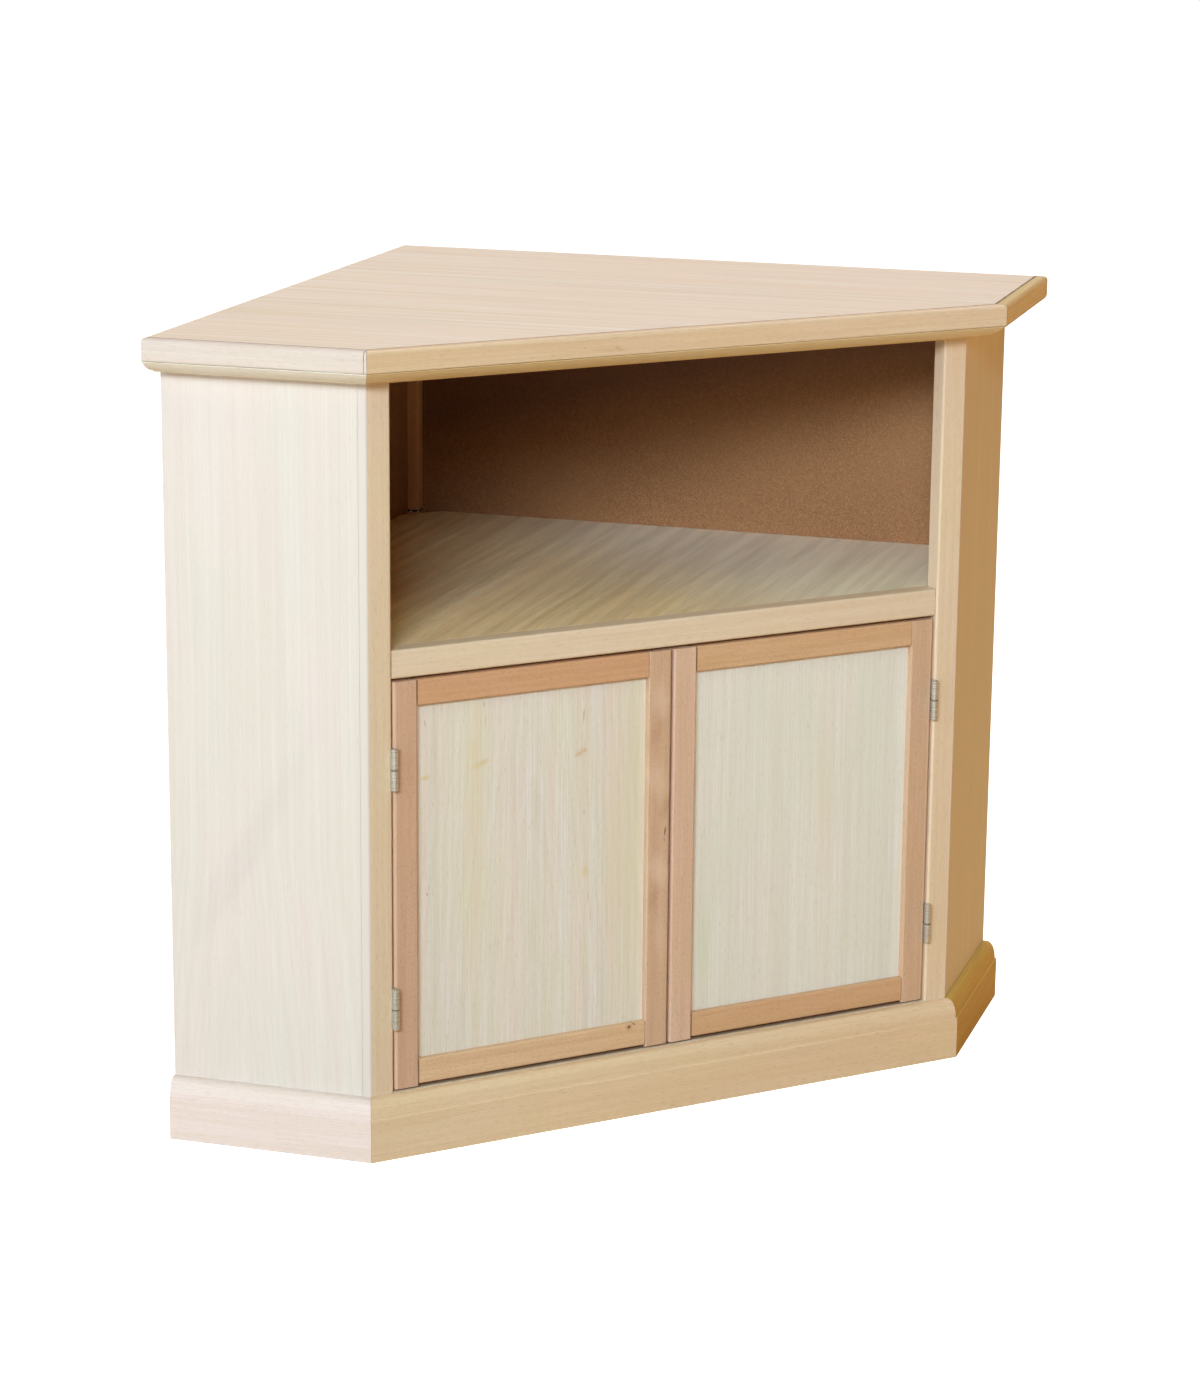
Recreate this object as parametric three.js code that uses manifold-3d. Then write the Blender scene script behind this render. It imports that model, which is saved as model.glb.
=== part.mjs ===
// Corner TV cabinet in unfinished timber: a five-sided carcass for a right-angled room
// corner, with an open bay over a cupboard that has two framed doors on lift-off hinges.
// Millimetres, +Z up. The front faces -Y and the room corner lies at +Y.

import * as THREE from 'three';
import { mergeVertices } from 'three/addons/utils/BufferGeometryUtils.js';
import Module from 'manifold-3d';

const wasm = await Module();
wasm.setup();

// Overall sizes
const HEIGHT = 771;
const FRONT_WIDTH = 640; // carcass front, from corner to corner
const SIDE_RUN = 198; // outer face of a side, from its front corner to the wall
const STOCK = 18; // veneered board and solid timber below the top
const GLUE_GAP = 0.2; // clearance in every fixed joint

// Top with its solid edging and the moulding under it
const TOP_THICK = 20; // board and edging alike
const TOP_OVERHANG = 42;
const EDGING_WIDTH = 12;
const EDGING_ROUND = 4;
const EDGING_UNDER_ROUND = 1;
const EDGING_GAP = 0.3;
const CORNICE_HEIGHT = 13.3;
const CORNICE_SET_BACK = 1; // behind the edging's face
const CORNICE_RUN = 24.5; // from its top edge back to its foot
const CORNICE_FILLET = 1.2; // upright edge under the edging
const CORNICE_FOOT = 1.7; // upright edge at its foot
const CORNICE_QUIRK = 0.8;
const CORNICE_BULGE = 2.2; // rise of the curved face over its chord

// Plinth moulding
const PLINTH_HEIGHT = 60;
const PLINTH_THICK = 15;
const PLINTH_LEDGE_HEIGHT = 42;
const PLINTH_LEDGE = 1.7;
const PLINTH_TOP_FLAT = 4.5;
const PLINTH_BEAD_ROUND = 1.5;
const PLINTH_BLOCK = 45; // length of the glue blocks in its corners
const PLINTH_BLOCK_CLEARANCE = 6; // between a block and the floor

// Front stiles, rear corner post and back panels
const STILE_WIDTH = 24.5;
const EASE = 2.4; // rounding of solid timber edges
const BACK_EASE = 0.8; // rounding of edges that face inwards
const POST = 23;
const BACK_THICK = 4;
const BACK_INSET = 6; // from the wall to the back panel
const BACK_GROOVE = 7; // depth of the grooves that hold the back panels
const BACK_PLAY = 0.25; // on each face of a back panel in its groove
const BACK_LIFT = 18; // from the floor to the back panels

// Shelf, floor board and cleats
const SHELF_TOP = 487;
const SHELF_RAIL_HEIGHT = 27;
const FRONT_INSET = 2; // doors and shelf rail behind the stiles' faces
const POST_CLEARANCE = 6.5; // from the post's front arris to the boards' cut corner
const CLEAT = 18;
const CLEAT_END_GAP = 14;
const CLEAT_CHAMFER = 3;

// Doors
const DOOR_TOP_GAP = 3;
const DOOR_BOTTOM_GAP = 2.2;
const DOOR_MEETING_GAP = 2.4;
const MEMBER = 24.5; // width of door stiles and rails
const INNER_EASE = 1.5; // rounding of a frame's front edges round its panel
const RAIL_RISE = 1.6; // the bottom rails stop short of the stiles' lower ends
const PANEL_THICK = 6;
const PANEL_RECESS = 7.2; // from the frame's face back to the panel
const PANEL_GROOVE = 8;
const PANEL_PLAY = 1; // between a panel's edge and the bottom of its groove
const PANEL_FACE_PLAY = 0.2;
const TENON_PLAY = 0.5;

// Lift-off hinges
const LEAF_HEIGHT = 40;
const LEAF_THICK = 0.8;
const LEAF_DEPTH = 15; // flat of a leaf, along the door's thickness
const LEAF_SEAT = 0.1;
const LEAF_CLEARANCE = 0.3;
const LEAF_CORNER = 2;
const KNUCKLE_RADIUS = 3.4;
const KNUCKLE_CHAMFER = 0.5;
const KNUCKLE_GAP = 0.3;
const PIN_RADIUS = 1.9;
const PIN_FIT = 0.1;
const PIN_END = 2; // metal over the pin's bore
const PIN_TIP = 0.6; // chamfer on the pin and its end play
const HINGE_FROM_END = 81.5; // centre of a hinge from the door's end
const HINGE_REACH = 3; // axis in front of the stiles' faces
const SCREW_HOLE = 1.7;
const SCREW_PITCH = 24;

// Magnetic catches
const CATCH_WIDTH = 36;
const CATCH_DEPTH = 13;
const CATCH_HEIGHT = 25;
const CATCH_EAR = 10;
const CATCH_FLANGE = 2.5;
const CATCH_ROUND = 1.5;
const CATCH_GAP = 0.3; // between magnet and strike plate
const CATCH_FROM_CENTRE = 48;
const STRIKE_WIDTH = 34;
const STRIKE_HEIGHT = 14;
const STRIKE_THICK = 1.2;
const STRIKE_FROM_TOP = 3;

// Drawing
const ARC_STEPS = 5;
const ROUND_STEPS = 28;
const OVERRUN = 2; // how far a cutter passes the face that it cuts
const WELD = 1e-4; // points closer than this become one

// Places that follow from the sizes
const HALF_FRONT = FRONT_WIDTH / 2;
const DIAGONAL = Math.SQRT1_2;
const MITRE = Math.tan(Math.PI / 8); // plan mitre of the 135 degree front corners
const SIDE_DIAGONAL = SIDE_RUN * DIAGONAL;
const ROOM_CORNER = HALF_FRONT + SIDE_RUN * Math.SQRT2;
const TOP_UNDERSIDE = HEIGHT - TOP_THICK;
const CARCASS_TOP = TOP_UNDERSIDE - GLUE_GAP;
const OPENING_HALF = HALF_FRONT - STILE_WIDTH;
const BACK_FACE = BACK_INSET + BACK_THICK;
const SHELF_UNDERSIDE = SHELF_TOP - STOCK;
const OPENING_TOP = SHELF_TOP - SHELF_RAIL_HEIGHT;
const FLOOR_TOP = PLINTH_HEIGHT;
const FLOOR_UNDERSIDE = FLOOR_TOP - STOCK;
const FRONT_BACK = FRONT_INSET + STOCK; // rear face of doors and shelf rail
const PANEL_FRONT = FRONT_INSET + PANEL_RECESS;
const PANEL_REAR = PANEL_FRONT + PANEL_THICK;
const DOOR_BOTTOM = FLOOR_TOP + DOOR_BOTTOM_GAP;
const DOOR_TOP = OPENING_TOP - DOOR_TOP_GAP;
const DOOR_SIDE_GAP = 2 * (LEAF_THICK + LEAF_SEAT) + LEAF_CLEARANCE;
const DOOR_EDGE = OPENING_HALF - DOOR_SIDE_GAP;
const DOOR_MEETING = DOOR_MEETING_GAP / 2;
const HINGE_X = OPENING_HALF - DOOR_SIDE_GAP / 2;
const HINGE_HEIGHTS = { upper: DOOR_TOP - HINGE_FROM_END, lower: DOOR_BOTTOM + HINGE_FROM_END };
const SIDES = { left: -1, right: 1 };

// Finishes
const finish = (color, roughness, metalness = 0) => ({ color, roughness, metalness });
const FINISHES = {
  topVeneer: finish(0xe6d6c1, 0.62),
  edging: finish(0xe3cfb2, 0.58),
  sideVeneer: finish(0xeeeadb, 0.6),
  solid: finish(0xdcc6a3, 0.6),
  shelfVeneer: finish(0xd6c4a6, 0.62),
  doorFrame: finish(0xd0a584, 0.58),
  doorPanel: finish(0xdcd7c2, 0.6),
  hardboard: finish(0x8a6442, 0.8),
  batten: finish(0xd9c39c, 0.7),
  zinc: finish(0xb9bbbd, 0.35, 0.9),
  catchPlastic: finish(0xe8e6e0, 0.5),
};

const cabinet = new THREE.Group();
cabinet.position.y = -(ROOM_CORNER - TOP_OVERHANG) / 2;

// Puts a named piece into the cabinet, or into a group that stands in it.
function add(name, geometry, look, parent = cabinet) {
  const mesh = new THREE.Mesh(geometry, new THREE.MeshStandardMaterial(look));
  mesh.name = name;
  parent.add(mesh);
  return mesh;
}

// A closed outline from corners [x, y, radius]; a corner without a radius stays sharp.
function outline(corners) {
  const points = [];
  corners.forEach(([x, y, radius = 0], i) => {
    const corner = new THREE.Vector2(x, y);
    if (radius === 0) {
      points.push(corner);
      return;
    }
    const [bx, by] = corners.at(i - 1);
    const [ax, ay] = corners[(i + 1) % corners.length];
    const before = new THREE.Vector2(bx, by).sub(corner).normalize();
    const after = new THREE.Vector2(ax, ay).sub(corner).normalize();
    const half = Math.acos(THREE.MathUtils.clamp(before.dot(after), -1, 1)) / 2;
    const inward = before.clone().add(after).normalize();
    const centre = corner.clone().addScaledVector(inward, radius / Math.sin(half));
    const first = corner.clone().addScaledVector(before, radius / Math.tan(half)).sub(centre);
    const turn = Math.sign(after.cross(before)) * (Math.PI - 2 * half);
    for (let step = 0; step <= ARC_STEPS; step++) {
      const arm = first.clone().rotateAround(new THREE.Vector2(), (turn * step) / ARC_STEPS);
      points.push(arm.add(centre));
    }
  });
  return new THREE.Shape(points);
}

// Corners of a rectangle, anticlockwise from its lower left, each with its own radius.
function rectangle(x0, y0, x1, y1, radii = []) {
  const places = [[x0, y0], [x1, y0], [x1, y1], [x0, y1]];
  return places.map((place, i) => [...place, radii[i] ?? 0]);
}

// The same corners on the other side of the cabinet, still anticlockwise.
function onSide(corners, side) {
  if (side > 0) return corners;
  return corners.map(([x, ...rest]) => [-x, ...rest]).reverse();
}

function extrude(shape, depth) {
  return new THREE.ExtrudeGeometry(shape, { depth, bevelEnabled: false, curveSegments: ROUND_STEPS });
}

// A piece with a constant plan, between two heights.
function upright(corners, bottom, top) {
  return extrude(outline(corners), top - bottom).translate(0, 0, bottom);
}

// A piece with a constant section [y, z], lying along X between two places.
function lengthwise(corners, x0, x1) {
  const bar = extrude(outline(corners), x1 - x0);
  const turned = new THREE.Matrix4().set(0, 0, 1, x0, 1, 0, 0, 0, 0, 1, 0, 0, 0, 0, 0, 1);
  return bar.applyMatrix4(turned);
}

function toSolid(geometry) {
  const bare = geometry.index ? geometry.toNonIndexed() : geometry.clone();
  bare.deleteAttribute('normal');
  bare.deleteAttribute('uv');
  const merged = mergeVertices(bare, WELD);
  return new wasm.Manifold(new wasm.Mesh({
    numProp: 3,
    vertProperties: new Float32Array(merged.attributes.position.array),
    triVerts: new Uint32Array(merged.index.array),
  }));
}

function toGeometry(solid) {
  const mesh = solid.getMesh();
  const geometry = new THREE.BufferGeometry();
  geometry.setAttribute('position', new THREE.BufferAttribute(mesh.vertProperties, 3));
  geometry.setIndex(new THREE.BufferAttribute(mesh.triVerts, 1));
  return geometry;
}

function join(first, ...others) {
  return toGeometry(others.reduce((sum, next) => sum.add(toSolid(next)), toSolid(first)));
}

function cut(body, ...tools) {
  return toGeometry(tools.reduce((rest, tool) => rest.subtract(toSolid(tool)), toSolid(body)));
}

// A round bar along Z with an equal chamfer at chosen ends.
function roundBar(radius, bottom, top, lowChamfer, highChamfer) {
  const profile = [
    [0, bottom], [radius - lowChamfer, bottom], [radius, bottom + lowChamfer],
    [radius, top - highChamfer], [radius - highChamfer, top], [0, top],
  ];
  const points = profile.map(([r, z]) => new THREE.Vector2(r, z));
  const unique = points.filter((p, i) => i === 0 || !p.equals(points[i - 1]));
  return new THREE.LatheGeometry(unique, ROUND_STEPS).rotateX(Math.PI / 2);
}

// A group whose X runs out of a side, whose Y is up and whose Z runs along the side's face.
function runFrame(x, y, outX, outY) {
  const out = new THREE.Vector3(outX, outY, 0).normalize();
  const up = new THREE.Vector3(0, 0, 1);
  const frame = new THREE.Group();
  frame.setRotationFromMatrix(new THREE.Matrix4().makeBasis(out, up, out.clone().cross(up)));
  frame.position.set(x, y, 0);
  cabinet.add(frame);
  return frame;
}

// The three runs of moulding round the cabinet: left, front and right.
const RUNS = {
  left: { frame: runFrame(-HALF_FRONT, 0, -1, -1), length: SIDE_RUN, mitres: [1, 0] },
  front: { frame: runFrame(HALF_FRONT, 0, 0, -1), length: FRONT_WIDTH, mitres: [1, 1] },
  right: {
    frame: runFrame(HALF_FRONT + SIDE_DIAGONAL, SIDE_DIAGONAL, 1, -1), length: SIDE_RUN, mitres: [0, 1],
  },
};

// One length of moulding, from a section [out, up], mitred where two runs meet.
function moulding(corners, run, gap) {
  const geometry = extrude(outline(corners), 1);
  const place = geometry.attributes.position;
  const [startMitre, endMitre] = run.mitres;
  for (let i = 0; i < place.count; i++) {
    const reach = place.getX(i) * MITRE - gap;
    const start = -reach * startMitre;
    const end = run.length + reach * endMitre;
    place.setZ(i, THREE.MathUtils.lerp(start, end, place.getZ(i)));
  }
  geometry.computeVertexNormals();
  return geometry;
}

// A curved stretch of section between two corners, bulging to the right of its way.
function bulge([x0, y0], [x1, y1], rise) {
  const chord = new THREE.Vector2(x1 - x0, y1 - y0);
  const side = new THREE.Vector2(chord.y, -chord.x).normalize();
  return Array.from({ length: ARC_STEPS - 1 }, (_, i) => {
    const share = (i + 1) / ARC_STEPS;
    const lift = 4 * rise * share * (1 - share);
    return [x0 + chord.x * share + side.x * lift, y0 + chord.y * share + side.y * lift];
  });
}

// Plan of the boards inside the carcass, from the front edge back to the cut rear corner.
function insideBoard(frontEdge, frontHalf) {
  const sideFace = STOCK + GLUE_GAP;
  const backFace = BACK_FACE + GLUE_GAP;
  const sideReach = (y) => HALF_FRONT + y - sideFace * Math.SQRT2;
  const backLine = ROOM_CORNER - backFace * Math.SQRT2;
  const rearX = (backLine + HALF_FRONT - sideFace * Math.SQRT2) / 2;
  const cutY = ROOM_CORNER - POST * Math.SQRT2 - POST_CLEARANCE;
  const behindStile = Math.max(frontEdge, STOCK + GLUE_GAP);
  const half = [[sideReach(behindStile), behindStile], [rearX, backLine - rearX], [backLine - cutY, cutY]];
  if (frontEdge < behindStile) half.unshift([frontHalf, frontEdge], [frontHalf, behindStile]);
  return [...half, ...half.map(([x, y]) => [-x, y]).reverse()];
}

function makeTop() {
  const reach = TOP_OVERHANG - EDGING_WIDTH - EDGING_GAP;
  const corner = HALF_FRONT + reach * MITRE;
  const wing = [HALF_FRONT + SIDE_DIAGONAL + reach * DIAGONAL, SIDE_DIAGONAL - reach * DIAGONAL];
  const plan = [[-corner, -reach], [corner, -reach], wing, [0, ROOM_CORNER], [-wing[0], wing[1]]];
  add('top_board', upright(plan, TOP_UNDERSIDE, HEIGHT), FINISHES.topVeneer);
}

function makeEdging() {
  const inner = TOP_OVERHANG - EDGING_WIDTH;
  const radii = [0, EDGING_UNDER_ROUND, EDGING_ROUND, 0];
  const section = rectangle(inner, TOP_UNDERSIDE, TOP_OVERHANG, HEIGHT, radii);
  for (const [name, run] of Object.entries(RUNS)) {
    add(`top_edging_${name}`, moulding(section, run, EDGING_GAP / 2), FINISHES.edging, run.frame);
  }
}

function makeCornice() {
  const top = CARCASS_TOP;
  const bottom = top - CORNICE_HEIGHT;
  const outer = TOP_OVERHANG - CORNICE_SET_BACK;
  const foot = outer - CORNICE_RUN;
  const low = [foot + CORNICE_QUIRK, bottom + CORNICE_FOOT];
  const high = [outer - CORNICE_QUIRK, top - CORNICE_FILLET];
  const section = [
    [GLUE_GAP, bottom], [foot, bottom], [foot, low[1]], low,
    ...bulge(low, high, CORNICE_BULGE),
    high, [outer, high[1]], [outer, top], [GLUE_GAP, top],
  ];
  for (const [name, run] of Object.entries(RUNS)) {
    add(`cornice_${name}`, moulding(section, run, GLUE_GAP / 2), FINISHES.edging, run.frame);
  }
}

function makePlinth() {
  const shoulder = PLINTH_THICK - PLINTH_LEDGE;
  const rise = PLINTH_HEIGHT - PLINTH_LEDGE_HEIGHT;
  const spread = shoulder - PLINTH_TOP_FLAT;
  const ovolo = Array.from({ length: ARC_STEPS + 1 }, (_, i) => {
    const angle = (i / ARC_STEPS) * (Math.PI / 2);
    return [PLINTH_TOP_FLAT + spread * Math.cos(angle), PLINTH_LEDGE_HEIGHT + rise * Math.sin(angle)];
  });
  const section = [
    [GLUE_GAP, 0], [PLINTH_THICK, 0], [PLINTH_THICK, PLINTH_LEDGE_HEIGHT, PLINTH_BEAD_ROUND],
    ...ovolo, [GLUE_GAP, PLINTH_HEIGHT],
  ];
  for (const [name, run] of Object.entries(RUNS)) {
    add(`plinth_${name}`, moulding(section, run, GLUE_GAP / 2), FINISHES.solid, run.frame);
  }
}

// A side's section runs [out, along]; its groove holds the back panel.
function makeSides() {
  const front = STOCK * MITRE + GLUE_GAP;
  const grooveBack = BACK_INSET - BACK_PLAY;
  const grooveFront = BACK_FACE + BACK_PLAY;
  for (const [name, side] of Object.entries(SIDES)) {
    const plan = [
      [0, 0], [STOCK, 0], [STOCK, grooveBack], [STOCK - BACK_GROOVE, grooveBack],
      [STOCK - BACK_GROOVE, grooveFront], [STOCK, grooveFront], [STOCK, SIDE_RUN - front],
      [0, SIDE_RUN - front],
    ];
    const corners = plan.map(([inward, along]) => [
      HALF_FRONT + SIDE_DIAGONAL - (along + inward) * DIAGONAL,
      SIDE_DIAGONAL + (inward - along) * DIAGONAL,
    ]).reverse();
    add(`side_panel_${name}`, upright(onSide(corners, side), 0, CARCASS_TOP), FINISHES.sideVeneer);
  }
}

// A front stile has a square inner edge and an outer edge ripped to meet the side.
function makeFrontStiles() {
  const plan = [
    [OPENING_HALF, 0, EASE], [HALF_FRONT, 0, EASE],
    [HALF_FRONT + STOCK * MITRE * DIAGONAL, STOCK * MITRE * DIAGONAL],
    [HALF_FRONT - STOCK * MITRE, STOCK], [OPENING_HALF, STOCK, BACK_EASE],
  ];
  for (const [name, side] of Object.entries(SIDES)) {
    add(`front_stile_${name}`, upright(onSide(plan, side), 0, CARCASS_TOP), FINISHES.solid);
  }
}

// The rear post stands in the room corner, with a groove on each side for a back panel.
function makeCornerPost() {
  const near = BACK_INSET - BACK_PLAY;
  const far = BACK_FACE + BACK_PLAY;
  const depth = POST - BACK_GROOVE;
  const plan = [
    [0, 0], [POST, 0], [POST, near], [depth, near], [depth, far], [POST, far], [POST, POST, EASE],
    [far, POST], [far, depth], [near, depth], [near, POST], [0, POST],
  ];
  const post = upright(plan, 0, CARCASS_TOP).rotateZ(-Math.PI * 3 / 4);
  add('corner_post', post, FINISHES.batten).position.y = ROOM_CORNER;
}

function makeBackPanels() {
  const wall = ROOM_CORNER * Math.SQRT2 / 2 + HALF_FRONT * DIAGONAL;
  const length = wall - STOCK - POST + 2 * BACK_GROOVE - 2 * GLUE_GAP;
  const start = POST - BACK_GROOVE + GLUE_GAP;
  for (const [name, side] of Object.entries(SIDES)) {
    const plan = rectangle(start, BACK_INSET, start + length, BACK_FACE);
    const corners = plan.map(([along, inward]) => [
      (along - inward) * DIAGONAL, ROOM_CORNER - (along + inward) * DIAGONAL,
    ]).reverse();
    const top = CARCASS_TOP - GLUE_GAP;
    add(`back_panel_${name}`, upright(onSide(corners, side), BACK_LIFT, top), FINISHES.hardboard);
  }
}

function makeShelf() {
  const board = insideBoard(FRONT_BACK + GLUE_GAP);
  add('shelf_board', upright(board, SHELF_UNDERSIDE, SHELF_TOP), FINISHES.shelfVeneer);
  const radii = [EASE, 0, 0, EASE];
  const section = rectangle(FRONT_INSET, OPENING_TOP, FRONT_BACK, SHELF_TOP, radii);
  const end = OPENING_HALF - GLUE_GAP;
  add('shelf_front_rail', lengthwise(section, -end, end), FINISHES.solid);
}

function makeFloor() {
  const plan = insideBoard(GLUE_GAP, OPENING_HALF - GLUE_GAP);
  add('floor_board', upright(plan, FLOOR_UNDERSIDE, FLOOR_TOP), FINISHES.shelfVeneer);
}

// Battens along the inner faces of the sides, under the top, the shelf and the floor.
function makeCleats() {
  const undersides = { top: CARCASS_TOP, shelf: SHELF_UNDERSIDE, floor: FLOOR_UNDERSIDE };
  const outer = -STOCK - GLUE_GAP;
  const start = BACK_FACE + CLEAT_END_GAP;
  const length = SIDE_RUN - start - STOCK * MITRE - STOCK - CLEAT_END_GAP;
  for (const [name, side] of Object.entries(SIDES)) {
    for (const [level, underside] of Object.entries(undersides)) {
      const top = underside - GLUE_GAP;
      const bottom = top - CLEAT;
      const section = [
        [outer - CLEAT, bottom + CLEAT_CHAMFER], [outer - CLEAT + CLEAT_CHAMFER, bottom],
        [outer, bottom], [outer, top], [outer - CLEAT, top],
      ];
      const run = side < 0 ? RUNS.left : RUNS.right;
      const from = side < 0 ? SIDE_RUN - start - length : start;
      const cleat = extrude(outline(section), length).translate(0, 0, from);
      add(`${level}_cleat_${name}`, cleat, FINISHES.batten, run.frame);
    }
  }
}

// Blocks glued behind the plinth, under the floor board and against the stiles.
function makePlinthBlocks() {
  const outer = OPENING_HALF - GLUE_GAP;
  const front = GLUE_GAP;
  const rear = front + STOCK;
  const inner = outer - PLINTH_BLOCK;
  const plan = [[inner, front], [outer, front], [outer, rear], [inner + STOCK, rear]];
  const top = FLOOR_UNDERSIDE - GLUE_GAP;
  for (const [name, side] of Object.entries(SIDES)) {
    const block = upright(onSide(plan, side), PLINTH_BLOCK_CLEARANCE, top);
    add(`plinth_block_${name}`, block, FINISHES.batten);
  }
}

// Section [across, y] of a door member, with the panel's groove in its inner edge.
function memberSection() {
  const floor = MEMBER - PANEL_GROOVE;
  const front = PANEL_FRONT - PANEL_FACE_PLAY;
  const rear = PANEL_REAR + PANEL_FACE_PLAY;
  return [
    [0, FRONT_INSET, EASE], [MEMBER, FRONT_INSET, INNER_EASE], [MEMBER, front], [floor, front],
    [floor, rear], [MEMBER, rear], [MEMBER, FRONT_BACK, BACK_EASE], [0, FRONT_BACK, BACK_EASE],
  ];
}

function makeDoorStile(name, x, way, side) {
  const corners = memberSection().map(([across, y, r]) => [x + across * way, y, r]);
  const plan = way < 0 ? corners.reverse() : corners;
  add(name, upright(onSide(plan, side), DOOR_BOTTOM, DOOR_TOP), FINISHES.doorFrame);
}

// A rail runs between the stiles, with a stub tenon in each stile's groove.
function makeDoorRail(name, outerZ, way, side) {
  const x0 = DOOR_MEETING + MEMBER + GLUE_GAP;
  const x1 = DOOR_EDGE - MEMBER - GLUE_GAP;
  const corners = memberSection().map(([across, y, r]) => [y, outerZ + across * way, r]);
  const section = way > 0 ? corners.reverse() : corners;
  const reach = PANEL_GROOVE - TENON_PLAY;
  const heights = [outerZ + way * EASE, outerZ + way * (MEMBER - PANEL_GROOVE - TENON_PLAY)];
  const tongue = rectangle(PANEL_FRONT, Math.min(...heights), PANEL_REAR, Math.max(...heights));
  const [from, to] = side > 0 ? [x0, x1] : [-x1, -x0];
  const rail = join(lengthwise(section, from, to), lengthwise(tongue, from - reach, to + reach));
  add(name, rail, FINISHES.doorFrame);
}

function makeDoorPanel(name, side) {
  const inset = MEMBER - PANEL_GROOVE + PANEL_PLAY;
  const plan = rectangle(DOOR_MEETING + inset, PANEL_FRONT, DOOR_EDGE - inset, PANEL_REAR);
  const panel = upright(onSide(plan, side), DOOR_BOTTOM + RAIL_RISE + inset, DOOR_TOP - inset);
  add(name, panel, FINISHES.doorPanel);
}

function makeDoors() {
  for (const [name, side] of Object.entries(SIDES)) {
    makeDoorStile(`door_${name}_outer_stile`, DOOR_EDGE, -1, side);
    makeDoorStile(`door_${name}_inner_stile`, DOOR_MEETING, 1, side);
    makeDoorRail(`door_${name}_top_rail`, DOOR_TOP, -1, side);
    makeDoorRail(`door_${name}_bottom_rail`, DOOR_BOTTOM + RAIL_RISE, 1, side);
    makeDoorPanel(`door_${name}_panel`, side);
  }
}

// The flat of a hinge leaf, beside the gap's middle plane, with two screw holes.
function leafPlate(near, far, z, knuckleLow, knuckleHigh) {
  const front = -HINGE_REACH + KNUCKLE_RADIUS + LEAF_CLEARANCE;
  const back = front + LEAF_DEPTH;
  const low = z - LEAF_HEIGHT / 2;
  const high = z + LEAF_HEIGHT / 2;
  const x0 = Math.min(near, far);
  const x1 = Math.max(near, far);
  const flat = lengthwise(rectangle(front, low, back, high, [0, LEAF_CORNER, LEAF_CORNER, 0]), x0, x1);
  const neck = lengthwise(rectangle(-HINGE_REACH, knuckleLow, front + OVERRUN, knuckleHigh), x0, x1);
  const holes = [-1, 1].map((way) => {
    const hole = new THREE.CylinderGeometry(SCREW_HOLE, SCREW_HOLE, LEAF_THICK + 2 * OVERRUN, ROUND_STEPS);
    const middle = (front + back) / 2;
    return hole.rotateZ(Math.PI / 2).translate((near + far) / 2, middle, z + way * SCREW_PITCH / 2);
  });
  return { flat, neck, holes };
}

// Fixed leaf: its knuckle is the lower half of the barrel and carries the pin.
function frameLeaf(z) {
  const low = z - LEAF_HEIGHT / 2;
  const top = z - KNUCKLE_GAP / 2;
  const face = OPENING_HALF - LEAF_SEAT;
  const { flat, neck, holes } = leafPlate(face - LEAF_THICK, face, z, low, top);
  const pinTop = z + LEAF_HEIGHT / 2 - PIN_END - PIN_TIP;
  const knuckle = roundBar(KNUCKLE_RADIUS, low, top, KNUCKLE_CHAMFER, 0).translate(HINGE_X, -HINGE_REACH, 0);
  const pin = roundBar(PIN_RADIUS, top - OVERRUN, pinTop, 0, PIN_TIP).translate(HINGE_X, -HINGE_REACH, 0);
  return cut(join(flat, neck, knuckle, pin), ...holes);
}

// Moving leaf: its knuckle drops over the pin, so the door lifts off.
function doorLeaf(z) {
  const bottom = z + KNUCKLE_GAP / 2;
  const high = z + LEAF_HEIGHT / 2;
  const face = DOOR_EDGE + LEAF_SEAT;
  const { flat, neck, holes } = leafPlate(face, face + LEAF_THICK, z, bottom, high);
  const knuckle = roundBar(KNUCKLE_RADIUS, bottom, high, 0, KNUCKLE_CHAMFER);
  const bore = roundBar(PIN_RADIUS + PIN_FIT, bottom - OVERRUN, high - PIN_END, 0, 0);
  const parts = [knuckle, bore].map((piece) => piece.translate(HINGE_X, -HINGE_REACH, 0));
  return cut(join(flat, neck, parts[0]), parts[1], ...holes);
}

// The right-hand hinges are the left-hand ones seen in a mirror.
function mirrored(geometry) {
  const flipped = geometry.clone().scale(-1, 1, 1);
  const order = flipped.index.array;
  for (let i = 0; i < order.length; i += 3) {
    [order[i], order[i + 1]] = [order[i + 1], order[i]];
  }
  return flipped;
}

function makeHinges() {
  for (const [name, side] of Object.entries(SIDES)) {
    for (const [level, z] of Object.entries(HINGE_HEIGHTS)) {
      const leaves = { frame: frameLeaf(z), door: doorLeaf(z) };
      for (const [use, leaf] of Object.entries(leaves)) {
        const geometry = side > 0 ? leaf : mirrored(leaf);
        add(`hinge_${name}_${level}_${use}_leaf`, geometry, FINISHES.zinc);
      }
    }
  }
}

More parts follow.
